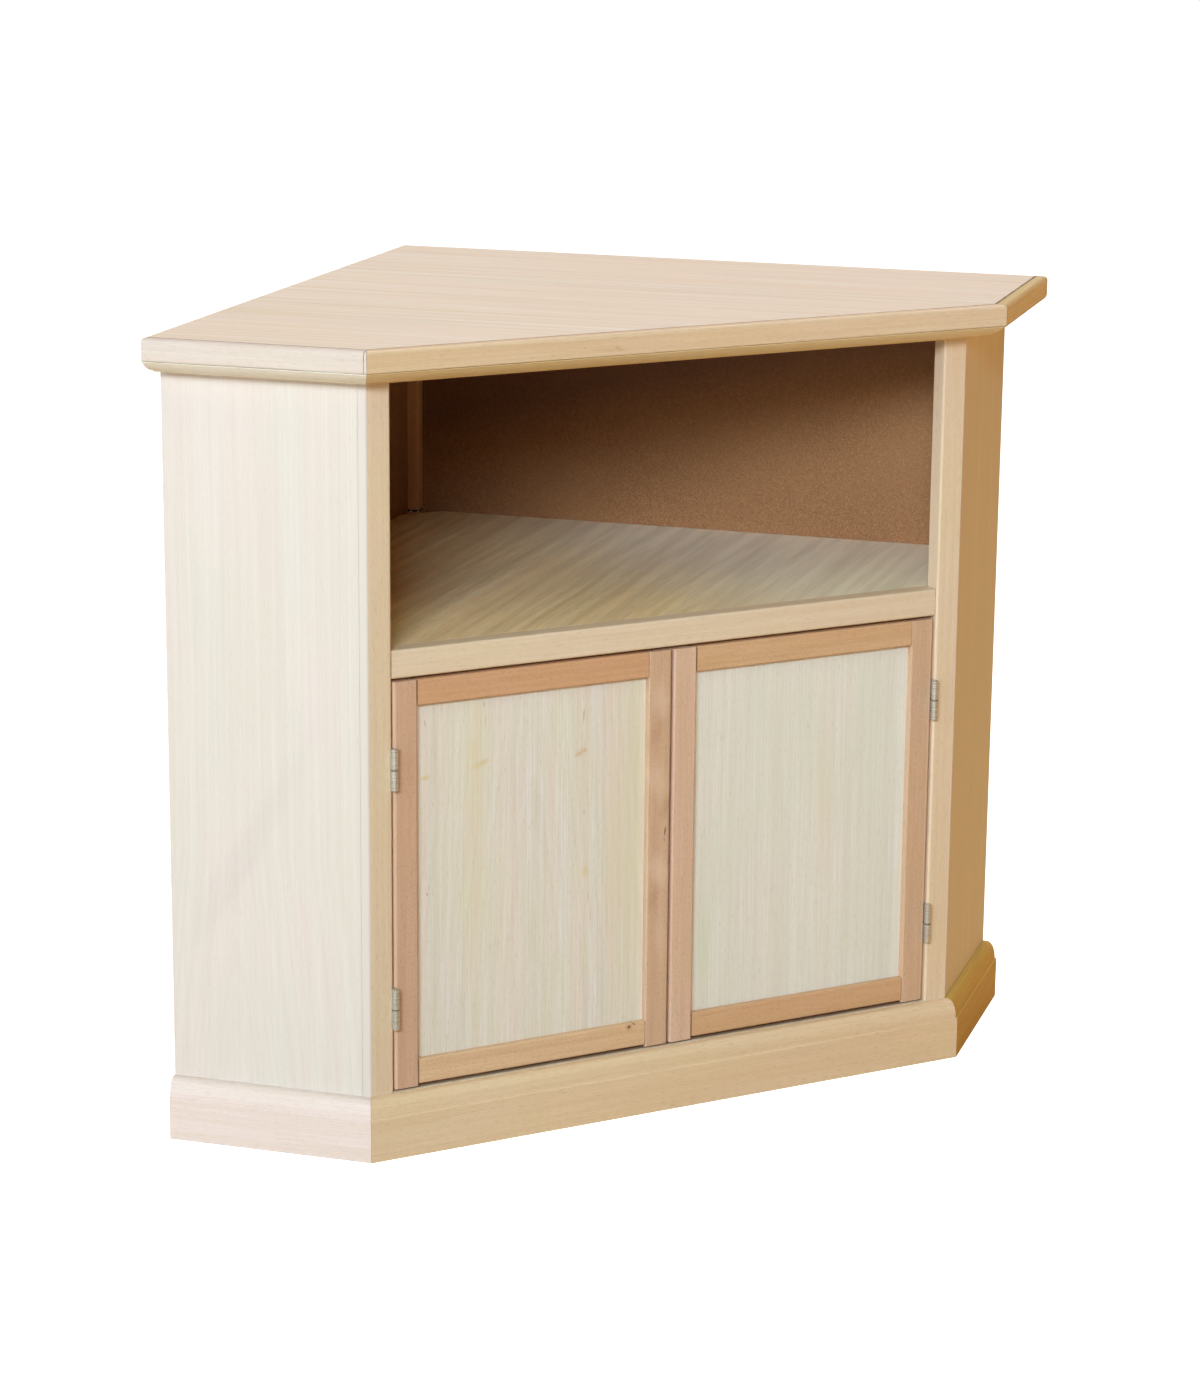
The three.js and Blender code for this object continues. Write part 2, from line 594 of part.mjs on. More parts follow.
// A magnet case with two ears, screwed up under the shelf behind the doors' top rails.
function makeCatches() {
  const face = FRONT_BACK + LEAF_SEAT + STRIKE_THICK + CATCH_GAP;
  const top = SHELF_UNDERSIDE - GLUE_GAP;
  const half = CATCH_WIDTH / 2;
  for (const [name, side] of Object.entries(SIDES)) {
    const x = side * CATCH_FROM_CENTRE;
    const radii = Array(4).fill(CATCH_ROUND);
    const box = rectangle(x - half, face, x + half, face + CATCH_DEPTH, radii);
    const wide = rectangle(x - half - CATCH_EAR, face, x + half + CATCH_EAR, face + CATCH_DEPTH, radii);
    const holes = [-1, 1].map((way) => {
      const place = x + way * (half + CATCH_EAR / 2);
      const hole = roundBar(SCREW_HOLE, top - CATCH_FLANGE - OVERRUN, top + OVERRUN, 0, 0);
      return hole.translate(place, face + CATCH_DEPTH / 2, 0);
    });
    const ears = upright(wide, top - CATCH_FLANGE, top);
    const body = cut(join(upright(box, top - CATCH_HEIGHT, top), ears), ...holes);
    add(`magnet_catch_${name}`, body, FINISHES.catchPlastic);

    const low = DOOR_TOP - STRIKE_FROM_TOP - STRIKE_HEIGHT;
    const strike = rectangle(x - STRIKE_WIDTH / 2, low, x + STRIKE_WIDTH / 2, low + STRIKE_HEIGHT, radii);
    const plate = extrude(outline(strike), STRIKE_THICK).rotateX(Math.PI / 2);
    const back = FRONT_BACK + LEAF_SEAT + STRIKE_THICK;
    add(`strike_plate_${name}`, plate.translate(0, back, 0), FINISHES.zinc);
  }
}

makeTop();
makeEdging();
makeCornice();
makeSides();
makeFrontStiles();
makeCornerPost();
makeBackPanels();
makeShelf();
makeFloor();
makeCleats();
makePlinth();
makePlinthBlocks();
makeDoors();
makeHinges();
makeCatches();

export default cabinet;
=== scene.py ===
"""Finish of the corner cabinet: bare veneers, sanded timber, hardboard backs, zinc-plated
hinges and their screws, on a pale floor in soft light from the left. Metres, +Z up."""

import math

import bmesh
import bpy
from mathutils import Matrix, Vector


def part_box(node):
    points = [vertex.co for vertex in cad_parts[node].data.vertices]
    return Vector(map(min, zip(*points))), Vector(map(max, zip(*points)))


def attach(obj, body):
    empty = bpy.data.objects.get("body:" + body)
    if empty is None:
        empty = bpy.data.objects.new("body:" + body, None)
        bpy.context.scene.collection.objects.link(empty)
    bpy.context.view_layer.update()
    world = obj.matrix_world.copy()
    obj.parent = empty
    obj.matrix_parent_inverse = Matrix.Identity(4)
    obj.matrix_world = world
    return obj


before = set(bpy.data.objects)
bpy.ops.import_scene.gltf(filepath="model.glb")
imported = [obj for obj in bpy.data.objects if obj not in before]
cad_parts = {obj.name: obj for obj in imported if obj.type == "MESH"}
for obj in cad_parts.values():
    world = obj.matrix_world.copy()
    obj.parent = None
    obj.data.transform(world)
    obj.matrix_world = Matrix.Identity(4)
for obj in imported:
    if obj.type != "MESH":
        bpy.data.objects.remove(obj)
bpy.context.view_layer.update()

MM = 0.001
UP = Vector((0, 0, 1))
RIGHT = Vector((1, 0, 0))
INTO = Vector((0, 1, 0))
LEFT_RUN = Vector((-1, 1, 0)).normalized()  # along the left side, from front to rear
RIGHT_RUN = Vector((1, 1, 0)).normalized()  # along the right side, and the left wall
LEFT_OUT = Vector((-1, -1, 0)).normalized()  # out of the left side
RIGHT_OUT = Vector((1, -1, 0)).normalized()
SIDES = {"left": -1, "right": 1}
RUNS = {"left": LEFT_RUN, "front": RIGHT, "right": RIGHT_RUN}
HINGE_LEVELS = ("upper", "lower")
CLEAT_SEEDS = {"top": 54.0, "shelf": 56.0, "floor": 56.0}

# Boards
TOP_THICKNESS = 20 * MM
BOARD_THICKNESS = 18 * MM
PANEL_THICKNESS = 6 * MM
SHELF_RAIL_HALF = 295.3 * MM  # from the middle of the shelf's front rail to its ends
DOOR_RAIL_HALF = 121.4 * MM  # from the middle of a door's rail to its shoulders

# Planes that the finishes follow, by their distance from the origin
BOARD_FRONT = 309 * MM  # joint of the top board and its front edging
BOARD_SIDE = 453.5 * MM  # joint of the top board and its side edgings
MITRE_LINE = 14.6 * MM  # joint of the left and the front edging
EDGING_BOTTOM = 751 * MM
EDGING_FACE = -321 * MM
SIDE_FACE = 423.5 * MM  # outer face of a side
BACK_MIDDLE = 219 * MM  # middle of a back panel's thickness
SHELF_TOP = 487 * MM
POST_MIDDLE = 305 * MM  # behind it the post is outside the bay
DOOR_FACE = -277 * MM
PANEL_FACE = -272 * MM
DOOR_EDGE = 293.4 * MM  # hinge side of a door
SHELF_LIGHT_LEFT = -30 * MM  # painted light makes the shelf paler to the right of this, over a width
SHELF_LIGHT_WIDTH = 240 * MM
PAINTED_SHADE_RISE = UP + 0.234 * LEFT_RUN  # square to the slanting edge of the painted shade in the bay
PAINTED_SHADE_START = 584 * MM

# Fixings
LEAF_FACES = {"frame": 294.6 * MM, "door": 294.3 * MM}  # bare faces of the hinge leaves
LEAF_MIDDLE = -270.8 * MM
HINGE_SCREWS = 12 * MM  # up and down from a hinge's middle
STRIKE_FACE = -257.7 * MM
STRIKE_SCREWS = 11 * MM
CATCH_EARS = 23 * MM  # from a catch's middle to its screws
CATCH_FLANGE = 466.3 * MM
CATCH_FACE = -257.4 * MM
POLE_HEIGHTS = (-2.6 * MM, 4.2 * MM)  # of the pole plates, from the strike plate's middle
POLE_SIZE = Vector((29, 5, 1.4)) * MM
MAGNET_HEIGHT = 0.8 * MM  # from the strike plate's middle, too
MAGNET_SIZE = Vector((27, 5, 5)) * MM
CLEAT_FACE = 387.3 * MM  # inner faces of the cleats, by distance from the origin
CLEAT_SCREWS = 50 * MM
PROUD = 0.05 * MM

# Edges
WELD_REACH = 0.001 * MM
SHARP = math.radians(32)  # an edge that turns by more than this is broken

# Camera
CAMERA_AT = Vector((-1.68064, -3.27548, 1.28716))
CAMERA_AZIMUTH = math.radians(-28.114)
CAMERA_ELEVATION = math.radians(14.365)
CAMERA_ROLL = math.radians(0.501)
CAMERA_LENS = 95.684

# Lights: azimuth and elevation of where they are, distance, width and height, power, colour
LIGHT_AIM = Vector((0, -0.1, 0.4))
LIGHTS = {
    "window light": (-38, 23, 7.0, (2.6, 1.2), 373, (0.783, 0.916, 1.0)),
    "left window": (-80, 20, 7.0, (2.6, 2.6), 127, (0.85, 0.95, 1.0)),
    "high window": (-20, 55, 6.0, (4.0, 2.0), 43, (0.95, 1.0, 0.5)),
    "skylight": (150, 60, 6.0, (4.0, 4.0), 230, (1.0, 0.93, 0.92)),
    "warm room": (80, 12, 5.0, (2.6, 2.6), 58, (1.0, 0.42, 0.12)),
}
WHITE = (1, 1, 1, 1)
ROOM_GLOW = (1.0, 0.86, 0.70, 1)
ROOM_STRENGTH = 0.03
FLOOR_RADIUS = 60
FLOOR_COLOUR = (0.9, 0.89, 0.87, 1)
BOUNCE_LEFT = (0.66, 0.56, 0.42, 1)
BOUNCE_RIGHT = (0.72, 0.50, 0.26, 1)
BOUNCE_RANGE = (-1.2, 0.6)  # where the left one begins to turn into the right one, and ends

scene = bpy.context.scene


def new_object(name, data):
    item = bpy.data.objects.new(name, data)
    scene.collection.objects.link(item)
    return item


def mesh_of(bm, name):
    """Puts what a bmesh holds into a new mesh."""
    mesh = bpy.data.meshes.new(name)
    bm.to_mesh(mesh)
    bm.free()
    return mesh


def shade(code):
    """A linear colour from its six-digit display code."""
    parts = [int(code[i : i + 2], 16) / 255 for i in (0, 2, 4)]
    linear = [p / 12.92 if p <= 0.04045 else ((p + 0.055) / 1.055) ** 2.4 for p in parts]
    return (*linear, 1.0)


# Node helpers


def feed(tree, socket, value):
    """Links a socket to another, or sets its own value."""
    if isinstance(value, bpy.types.NodeSocket):
        tree.links.new(value, socket)
    else:
        socket.default_value = value


def place(tree, kind, inputs=None, **settings):
    """A new node with its settings and inputs."""
    node = tree.nodes.new(kind)
    for name, value in settings.items():
        setattr(node, name, value)
    for key, value in (inputs or {}).items():
        feed(tree, node.inputs[key], value)
    return node


def maths(tree, operation, *values):
    node = place(tree, "ShaderNodeMath", dict(enumerate(values)), operation=operation)
    return node.outputs[0]


def times(tree, first, second):
    return maths(tree, "MULTIPLY", first, second)


def minus(tree, first, second):
    return maths(tree, "SUBTRACT", first, second)


def vector_maths(tree, operation, *values):
    node = place(tree, "ShaderNodeVectorMath", dict(enumerate(values)), operation=operation)
    return node.outputs["Value" if operation in ("LENGTH", "DOT_PRODUCT") else "Vector"]


def parts_of(tree, vector):
    return place(tree, "ShaderNodeSeparateXYZ", {0: vector}).outputs


def vector_of(tree, x=0.0, y=0.0, z=0.0):
    return place(tree, "ShaderNodeCombineXYZ", {0: x, 1: y, 2: z}).outputs[0]


def blend(tree, amount, first, second, mode="MIX"):
    """Two colours mixed by an amount."""
    node = place(tree, "ShaderNodeMix", data_type="RGBA", blend_type=mode, clamp_factor=True)
    feed(tree, node.inputs["Factor"], amount)
    feed(tree, node.inputs["A"], first)
    feed(tree, node.inputs["B"], second)
    return node.outputs["Result"]


def multiplied(tree, colour, factors):
    return blend(tree, 1.0, colour, factors, "MULTIPLY")


def ramp(tree, value, low, high, to_low=0.0, to_high=1.0):
    """A value eased from one range into another."""
    limits = {"From Min": low, "From Max": high, "To Min": to_low, "To Max": to_high}
    node = place(tree, "ShaderNodeMapRange", {"Value": value, **limits},
                 interpolation_type="SMOOTHSTEP")
    return node.outputs["Result"]


def towards(tree, colour, code, value, low, high, strength=1.0):
    """A colour that turns into another as a value rises from low to high."""
    return blend(tree, ramp(tree, value, low, high, 0.0, strength), colour, shade(code))


def stained(tree, colour, code, mask, strength):
    """A colour with another over it where a mask is 1."""
    return blend(tree, times(tree, mask, strength), colour, shade(code))


def noise(tree, vector, scale=1.0, detail=2.0, roughness=0.5):
    inputs = {"Vector": vector, "Scale": scale, "Detail": detail, "Roughness": roughness}
    return place(tree, "ShaderNodeTexNoise", inputs, noise_dimensions="3D").outputs["Fac"]


def new_group(name, inputs, outputs):
    """A shader node group with named sockets; returns it with its two ends."""
    group = bpy.data.node_groups.new(name, "ShaderNodeTree")
    sockets = group.interface
    for socket, (kind, value) in inputs.items():
        made = sockets.new_socket(socket, in_out="INPUT", socket_type="NodeSocket" + kind)
        if value is not None:
            made.default_value = value
    for socket, kind in outputs.items():
        sockets.new_socket(socket, in_out="OUTPUT", socket_type="NodeSocket" + kind)
    start = group.nodes.new("NodeGroupInput").outputs
    end = group.nodes.new("NodeGroupOutput").inputs
    return group, start, end


def use(tree, group, **inputs):
    """A group placed in a material, with its values given as words with underscores."""
    node = place(tree, "ShaderNodeGroup", node_tree=group)
    for key, value in inputs.items():
        feed(tree, node.inputs[key.replace("_", " ").title()], value)
    return node.outputs


# Shared effects

GRAIN_MASKS = ("Streaks", "Bands", "Fibres", "Pores", "Cloud")


def make_grain():
    """Straight grain along X: streaks, wide bands, fine fibres, short pores and slow clouding."""
    group, start, end = new_group(
        "Timber grain",
        {
            "Vector": ("Vector", None),
            "Streak Width": ("Float", 9 * MM),
            "Streak Length": ("Float", 0.5),
            "Band Width": ("Float", 30 * MM),
            "Fibre Width": ("Float", 0.9 * MM),
            "Fibre Length": ("Float", 0.07),
            "Pore Width": ("Float", 0.45 * MM),
            "Pore Length": ("Float", 7 * MM),
            "Wander": ("Float", 4 * MM),
            "Seed": ("Float", 0.0),
        },
        {**dict.fromkeys(GRAIN_MASKS, "Float"), "Vector": "Vector"},
    )
    drift_length, drift_width = 0.35, 0.09
    band_length = 0.9
    cloud_length, cloud_width = 0.16, 0.05
    seed = vector_of(group, start["Seed"], start["Seed"], start["Seed"])

    def stretched(vector, length, width):
        across = maths(group, "DIVIDE", 1.0, width)
        sizes = vector_of(group, maths(group, "DIVIDE", 1.0, length), across, across)
        return vector_maths(group, "ADD", vector_maths(group, "MULTIPLY", vector, sizes), seed)

    drift = noise(group, stretched(start["Vector"], drift_length, drift_width), detail=1.0)
    sway = times(group, minus(group, drift, 0.5), start["Wander"])
    bent = vector_maths(group, "ADD", start["Vector"], vector_of(group, 0.0, sway, sway))

    def figure(length, width, detail, roughness=0.5):
        return noise(group, stretched(bent, length, width), detail=detail, roughness=roughness)

    streaks = figure(start["Streak Length"], start["Streak Width"], 3.0, 0.6)
    bands = figure(band_length, start["Band Width"], 1.0)
    fibres = figure(start["Fibre Length"], start["Fibre Width"], 2.0, 0.65)
    pores = figure(start["Pore Length"], start["Pore Width"], 0.0)
    cloud = figure(cloud_length, cloud_width, 2.0)
    feed(group, end["Streaks"], ramp(group, streaks, 0.3, 0.7))
    feed(group, end["Bands"], ramp(group, bands, 0.35, 0.65))
    feed(group, end["Fibres"], ramp(group, fibres, 0.28, 0.72))
    feed(group, end["Pores"], ramp(group, pores, 0.62, 0.78))
    feed(group, end["Cloud"], ramp(group, cloud, 0.32, 0.68))
    feed(group, end["Vector"], bent)
    return group


def make_flame():
    """Nested arches that open towards -X below a tip, as on crown-cut veneer."""
    group, start, end = new_group(
        "Crown figure",
        {
            "Vector": ("Vector", None),
            "Tip": ("Float", 0.0),
            "Centre": ("Float", 0.0),
            "Spread": ("Float", 0.09),
            "Ring Width": ("Float", 7 * MM),
        },
        {"Rings": "Float"},
    )
    tip_radius = 12 * MM
    drift_along = 2.0  # how fast the rings change along their length
    parts = parts_of(group, start["Vector"])
    across = minus(group, parts["Y"], start["Centre"])
    squares = maths(group, "ADD", times(group, across, across), tip_radius**2)
    round_tip = maths(group, "SQRT", squares)
    below = maths(group, "MAXIMUM", minus(group, start["Tip"], parts["X"]), 0.0)
    arch = minus(group, round_tip, times(group, below, start["Spread"]))
    rings = maths(group, "DIVIDE", arch, start["Ring Width"])
    in_ring = vector_of(group, times(group, parts["X"], drift_along), rings)
    figure = noise(group, in_ring, detail=2.0, roughness=0.6)
    feed(group, end["Rings"], ramp(group, figure, 0.35, 0.65))
    return group


def make_tint():
    """Colour, roughness and relief of bare timber from its grain."""
    group, start, end = new_group(
        "Bare timber",
        {
            **dict.fromkeys(("Pale", "Deep", "Blush", "Cast", "Pore Colour"), ("Color", None)),
            "Streaks": ("Float", 0.5),
            "Bands": ("Float", 0.5),
            "Fibres": ("Float", 0.5),
            "Pores": ("Float", 0.0),
            "Cloud": ("Float", 0.5),
            "Streak Strength": ("Float", 0.5),
            "Blush Strength": ("Float", 0.4),
            "Cast Strength": ("Float", 0.3),
            "Fibre Strength": ("Float", 0.3),
            "Pore Strength": ("Float", 0.2),
            "Roughness": ("Float", 0.6),
        },
        {"Color": "Color", "Roughness": "Float", "Height": "Float"},
    )
    roughness_range = 0.12  # from the smoothest to the roughest fibre
    sink = -0.5  # how far fibres and pores lie below the face, as a share of the relief

    def share(mask, strength):
        return times(group, start[mask], start[strength])

    base = blend(group, share("Streaks", "Streak Strength"), start["Pale"], start["Deep"])
    warm = blend(group, share("Bands", "Blush Strength"), base, start["Blush"])
    cool = blend(group, share("Cloud", "Cast Strength"), warm, start["Cast"])
    lined = blend(group, share("Fibres", "Fibre Strength"), cool, start["Deep"])
    pored = blend(group, share("Pores", "Pore Strength"), lined, start["Pore Colour"])
    feed(group, end["Color"], pored)
    smoothest = minus(group, start["Roughness"], roughness_range / 2)
    rough = maths(group, "MULTIPLY_ADD", start["Fibres"], roughness_range, smoothest)
    feed(group, end["Roughness"], rough)
    relief = maths(group, "MULTIPLY_ADD", start["Fibres"], sink, 1.0)
    feed(group, end["Height"], maths(group, "MULTIPLY_ADD", start["Pores"], sink, relief))
    return group


def make_spot():
    """A soft-edged mark round a centre, such as a knot, a fleck or a blotch."""
    group, start, end = new_group(
        "Timber mark",
        {
            "Vector": ("Vector", None),
            "Centre": ("Vector", (0.0, 0.0, 0.0)),
            "Length": ("Float", 8 * MM),
            "Width": ("Float", 5 * MM),
            "Turn": ("Float", 0.0),
            "Ragged": ("Float", 0.5),
        },
        {"Mark": "Float"},
    )
    offset = vector_maths(group, "SUBTRACT", start["Vector"], start["Centre"])
    turned = place(group, "ShaderNodeVectorRotate", {"Vector": offset, "Angle": start["Turn"]},
                   rotation_type="Z_AXIS").outputs[0]
    parts = parts_of(group, turned)
    along = maths(group, "DIVIDE", parts["X"], start["Length"])
    across = maths(group, "DIVIDE", parts["Y"], start["Width"])
    size = vector_maths(group, "LENGTH", vector_of(group, along, across))
    rough_edge = noise(group, vector_of(group, along, across), scale=2.2, detail=3.0)
    wobble = times(group, minus(group, rough_edge, 0.5), start["Ragged"])
    distance = maths(group, "ADD", size, wobble)
    feed(group, end["Mark"], ramp(group, distance, 0.15, 1.0, 1.0, 0.0))
    return group


def make_seam():
    """A thin uneven line at zero distance, as a glue joint shows."""
    group, start, end = new_group(
        "Glue joint",
        {"Vector": ("Vector", None), "Distance": ("Float", 1.0), "Width": ("Float", 0.8 * MM)},
        {"Line": "Float"},
    )
    away = maths(group, "DIVIDE", maths(group, "ABSOLUTE", start["Distance"]), start["Width"])
    line = ramp(group, away, 0.35, 1.0, 1.0, 0.0)
    patches = noise(group, start["Vector"], scale=60.0, detail=2.0)
    uneven = ramp(group, patches, 0.3, 0.6, 0.55, 1.0)
    feed(group, end["Line"], times(group, line, uneven))
    return group


def make_core():
    """1 in a board's core and 0 in its two face veneers, by depth from its middle."""
    group, start, end = new_group(
        "Board core",
        {
            "Depth": ("Float", 0.0),
            "Half Thickness": ("Float", 9 * MM),
            "Veneer": ("Float", 0.6 * MM),
        },
        {"Core": "Float"},
    )
    limit = minus(group, start["Half Thickness"], start["Veneer"])
    inside = minus(group, limit, maths(group, "ABSOLUTE", start["Depth"]))
    feed(group, end["Core"], ramp(group, inside, -0.1 * MM, 0.1 * MM))
    return group


GRAIN = make_grain()
FLAME = make_flame()
TINT = make_tint()
SPOT = make_spot()
SEAM = make_seam()
CORE = make_core()

# Finishes

# Colours: pale, deep, blush (bands), cast (clouding), pores. Then the strengths of streaks,
# bands, clouding, fibres and pores, and the roughness.
# The left, front and right rows of side veneer, edging, cornice and solid are lit and shaded copies
# of one timber: painted light on the left and painted warm shade on the right.
TIMBERS = {
    "side veneer left": ("E7DCD8 D8CABF E5D1CC DDD8CD C1B099", 0.36, 0.40, 0.45, 0.32, 0.20, 0.55),
    "side veneer right": ("E9E2C8 DACFB0 E7D7BD DFDEBE C3B48E", 0.36, 0.40, 0.45, 0.32, 0.20, 0.55),
    "top veneer": ("FDF2E8 E4CDB5 F9E1D3 F6E2C8 B8936C", 0.82, 0.50, 0.35, 0.36, 0.24, 0.50),
    "shelf veneer": ("FFF8E9 E8D0B0 F5DBBF F3DFC2 C3A27E", 0.85, 0.40, 0.35, 0.70, 0.35, 0.52),
    "panel left": ("F1EBEB DACFBF F1DFD7 E7E6D0 BCAA90", 0.55, 0.60, 0.50, 0.50, 0.30, 0.55),
    "panel right": ("F4F0EE DBD5C7 F1E6E1 E4E8DC B5A78E", 0.50, 0.40, 0.55, 0.45, 0.25, 0.55),
    "edging left": ("E2D4CD D1BAA9 E0C8C1 DCCFC0 B39579", 0.50, 0.40, 0.35, 0.30, 0.30, 0.56),
    "edging front": ("E7CDB1 D2AF89 E6C3A7 E3C59B A57F58", 0.50, 0.45, 0.30, 0.30, 0.28, 0.54),
    "edging right": ("F2E7C0 D8BD89 EFDCB2 EBDCA0 AA8C58", 0.50, 0.35, 0.35, 0.30, 0.30, 0.56),
    "cornice left": ("F7F2EB E5D5C2 F5E6DC F1ECDC C4AA8B", 0.40, 0.30, 0.35, 0.30, 0.30, 0.56),
    "cornice front": ("EAD0A6 D7B786 E8C89F E4CB95 AA8553", 0.45, 0.35, 0.35, 0.30, 0.28, 0.56),
    "cornice right": ("DDBE84 C49C5D DAB57A D7B56E 9A723A", 0.50, 0.35, 0.35, 0.30, 0.30, 0.56),
    "solid left": ("EFE0DE DDC5B6 EDD4D0 E9DACF BE9E83", 0.50, 0.40, 0.35, 0.30, 0.30, 0.56),
    "solid front": ("EBD4BA D8BA96 E9CCB2 E5CFA8 AB885D", 0.45, 0.35, 0.35, 0.30, 0.28, 0.56),
    "solid right": ("D2B464 BB9546 CFAC5C CCAC53 926C2B", 0.50, 0.35, 0.35, 0.30, 0.30, 0.56),
    "frame": ("DEBDA3 C59C7B DCB19B D5B08D 885E40", 0.45, 0.45, 0.35, 0.38, 0.40, 0.54),
    "rail": ("DFB994 C4966E DDAE8D D6AA7D 865B38", 0.50, 0.40, 0.35, 0.38, 0.40, 0.54),
    "post": ("DFAD7E C88D59 DB9F76 DAA66F 9A6436", 0.60, 0.35, 0.35, 0.35, 0.30, 0.62),
    "batten": ("E8D4AE CFAE7C E3C5A2 E2CC98 A07C4C", 0.60, 0.35, 0.35, 0.35, 0.30, 0.68),
}
# How much lighter or darker than their kind some planks are, in red, green and blue
TONES = {
    "front_stile_left": (0.95, 0.95, 0.98),
    "front_stile_right": (1.04, 1.05, 1.10),
    "shelf_front_rail": (1.00, 1.03, 1.10),
    "plinth_front": (1.00, 0.975, 0.925),
    "top_edging_front": (0.985, 0.975, 0.93),
    "cornice_front": (0.96, 0.94, 0.91),
    "door_left_outer_stile": (0.95, 0.89, 0.90),
    "door_left_inner_stile": (0.97, 0.96, 0.96),
    "door_left_top_rail": (0.98, 0.90, 0.89),
    "door_left_bottom_rail": (1.09, 1.18, 1.26),
    "door_right_inner_stile": (1.07, 1.10, 1.18),
}
# The tone at the right end of two mouldings that get paler along their length, and where
RIGHT_TONES = {"top_edging_front": (1.05, 1.07, 1.11), "cornice_front": (1.03, 1.09, 1.15)}
RIGHT_TONE_RANGE = (-0.3, 0.3)
TINT_NAMES = ("pale", "deep", "blush", "cast", "pore_colour", "streak_strength", "blush_strength",
              "cast_strength", "fibre_strength", "pore_strength", "roughness")

# Marks: model place in metres, length and width in mm, turn in degrees, colour, strength


def on_face(depth, rows):
    """Marks on an upright face, whose rows give only the place across and the height."""
    return [((x, depth, z), *rest) for x, z, *rest in rows]


SMUDGES = on_face(EDGING_FACE, (
    (-0.0870, 0.7580, 4.5, 1.6, 12, "B98B5C", 0.50),
    (-0.0840, 0.7560, 6, 0.9, -6, "BD9062", 0.45),
    (-0.1210, 0.7600, 2.2, 0.9, 10, "B58656", 0.45),
    (-0.1000, 0.7570, 22, 3.0, 4, "CDA77C", 0.30),
))
# Painted shadow: soft darker diagonal bands across the left side
SIDE_PAINTED_SHADOWS = (
    ((-0.4020, -0.1970, 0.3000), 185, 18, 32, "D0C3BD", 0.26),
    ((-0.4150, -0.1840, 0.2500), 90, 8, 33, "D0C3BD", 0.20),
)
LEFT_PANEL_MARKS = on_face(PANEL_FACE, (
    (-0.0948, 0.3660, 6, 9, 20, "DDBB96", 0.50),
    (-0.0975, 0.3640, 2.2, 7, 25, "CFA67A", 0.45),
    (-0.0905, 0.3672, 2.6, 3.4, 0, "CDA276", 0.40),
    (-0.2022, 0.3665, 5, 12, 14, "DFC68C", 0.55),
    (-0.1960, 0.3690, 3, 8, 22, "D9BC84", 0.40),
    (-0.2075, 0.3790, 14, 5, 0, "E4D2A0", 0.40),
    (-0.2579, 0.3605, 3.4, 9, 6, "DDC184", 0.60),
    (-0.0895, 0.2472, 9, 5, 0, "D9C48E", 0.50),
    (-0.0860, 0.2216, 9, 0.9, 6, "D2AC7E", 0.60),
    (-0.0832, 0.2040, 14, 0.8, -3, "D8B58C", 0.55),
    (-0.1971, 0.4239, 5, 0.9, 4, "AE8A60", 0.60),
    (-0.1955, 0.4080, 10, 0.9, -3, "C9AA80", 0.45),
    (-0.0919, 0.4013, 11, 1.1, -4, "B48E62", 0.60),
    (-0.0911, 0.3069, 4, 0.9, 0, "B8946A", 0.50),
    (-0.2578, 0.4127, 6, 0.8, 6, "A9855C", 0.60),
    (-0.2563, 0.2474, 2.4, 1.3, 0, "9A7850", 0.60),
    (-0.0420, 0.2700, 280, 36, 0, "E6D2A4", 0.32),
    (-0.2050, 0.2900, 260, 20, 0, "E6D4B0", 0.28),
))
RIGHT_PANEL_MARKS = on_face(PANEL_FACE, (
    (0.0420, 0.1500, 70, 9, 0, "D2E0C2", 0.40),
    (0.1560, 0.3620, 4, 0.8, 0, "B9A47E", 0.50),
    (0.1750, 0.2900, 110, 14, 0, "EADFC6", 0.30),
))
RAIL_KNOTS = on_face(DOOR_FACE, (
    (-0.0436, 0.0853, 5, 4.5, 0, "A8764A", 0.55),
    (-0.0436, 0.0853, 1.9, 2.1, 0, "3C2412", 0.95),
    (-0.0382, 0.0875, 2.6, 1.2, 25, "5A3A1E", 0.80),
))
BLOTCHES = on_face(DOOR_FACE, (
    (-0.0120, 0.4090, 26, 15, 20, "EBCDB8", 0.38),
    (-0.0180, 0.3760, 24, 10, -25, "B3866A", 0.28),
    (-0.0150, 0.3300, 30, 14, 15, "EBCDB8", 0.42),
    (-0.0060, 0.3020, 20, 9, -20, "AE8266", 0.30),
    (-0.0130, 0.2400, 26, 15, 28, "EDD0BC", 0.42),
    (-0.0190, 0.2120, 18, 8, -15, "B18468", 0.28),
    (-0.0100, 0.1700, 36, 10, 8, "E2C2AA", 0.38),
    (-0.0066, 0.2784, 7, 1.3, -8, "5C3B2A", 0.85),
    (-0.0074, 0.2700, 3, 0.8, 12, "6A4632", 0.70),
))
MARKS = {
    "top_edging_front": SMUDGES,
    "side_panel_left": SIDE_PAINTED_SHADOWS,
    "door_left_panel": LEFT_PANEL_MARKS,
    "door_right_panel": RIGHT_PANEL_MARKS,
    "door_left_inner_stile": BLOTCHES,
    "door_left_bottom_rail": RAIL_KNOTS,
}
# Crown figures: place of the tip, strength, and shape
SIDE_CROWN = {"spread": 0.10, "ring_width": 5 * MM}
CROWNS = {
    "side_panel_left": ((-0.4141, -0.1855, 0.289), 0.12, SIDE_CROWN),
    "side_panel_right": ((0.39, -0.21, 0.40), 0.12, SIDE_CROWN),
    "door_left_panel": ((-0.145, PANEL_FACE, 0.46), 0.14, {"spread": 0.11, "ring_width": 5.5 * MM}),
}
CROWN_TINT = "E6D8C0"  # darkens the rings of crown-cut veneer


def new_material(name):
    material = bpy.data.materials.new(name)
    material.use_nodes = True
    tree = material.node_tree
    return material, tree, tree.nodes["Principled BSDF"]


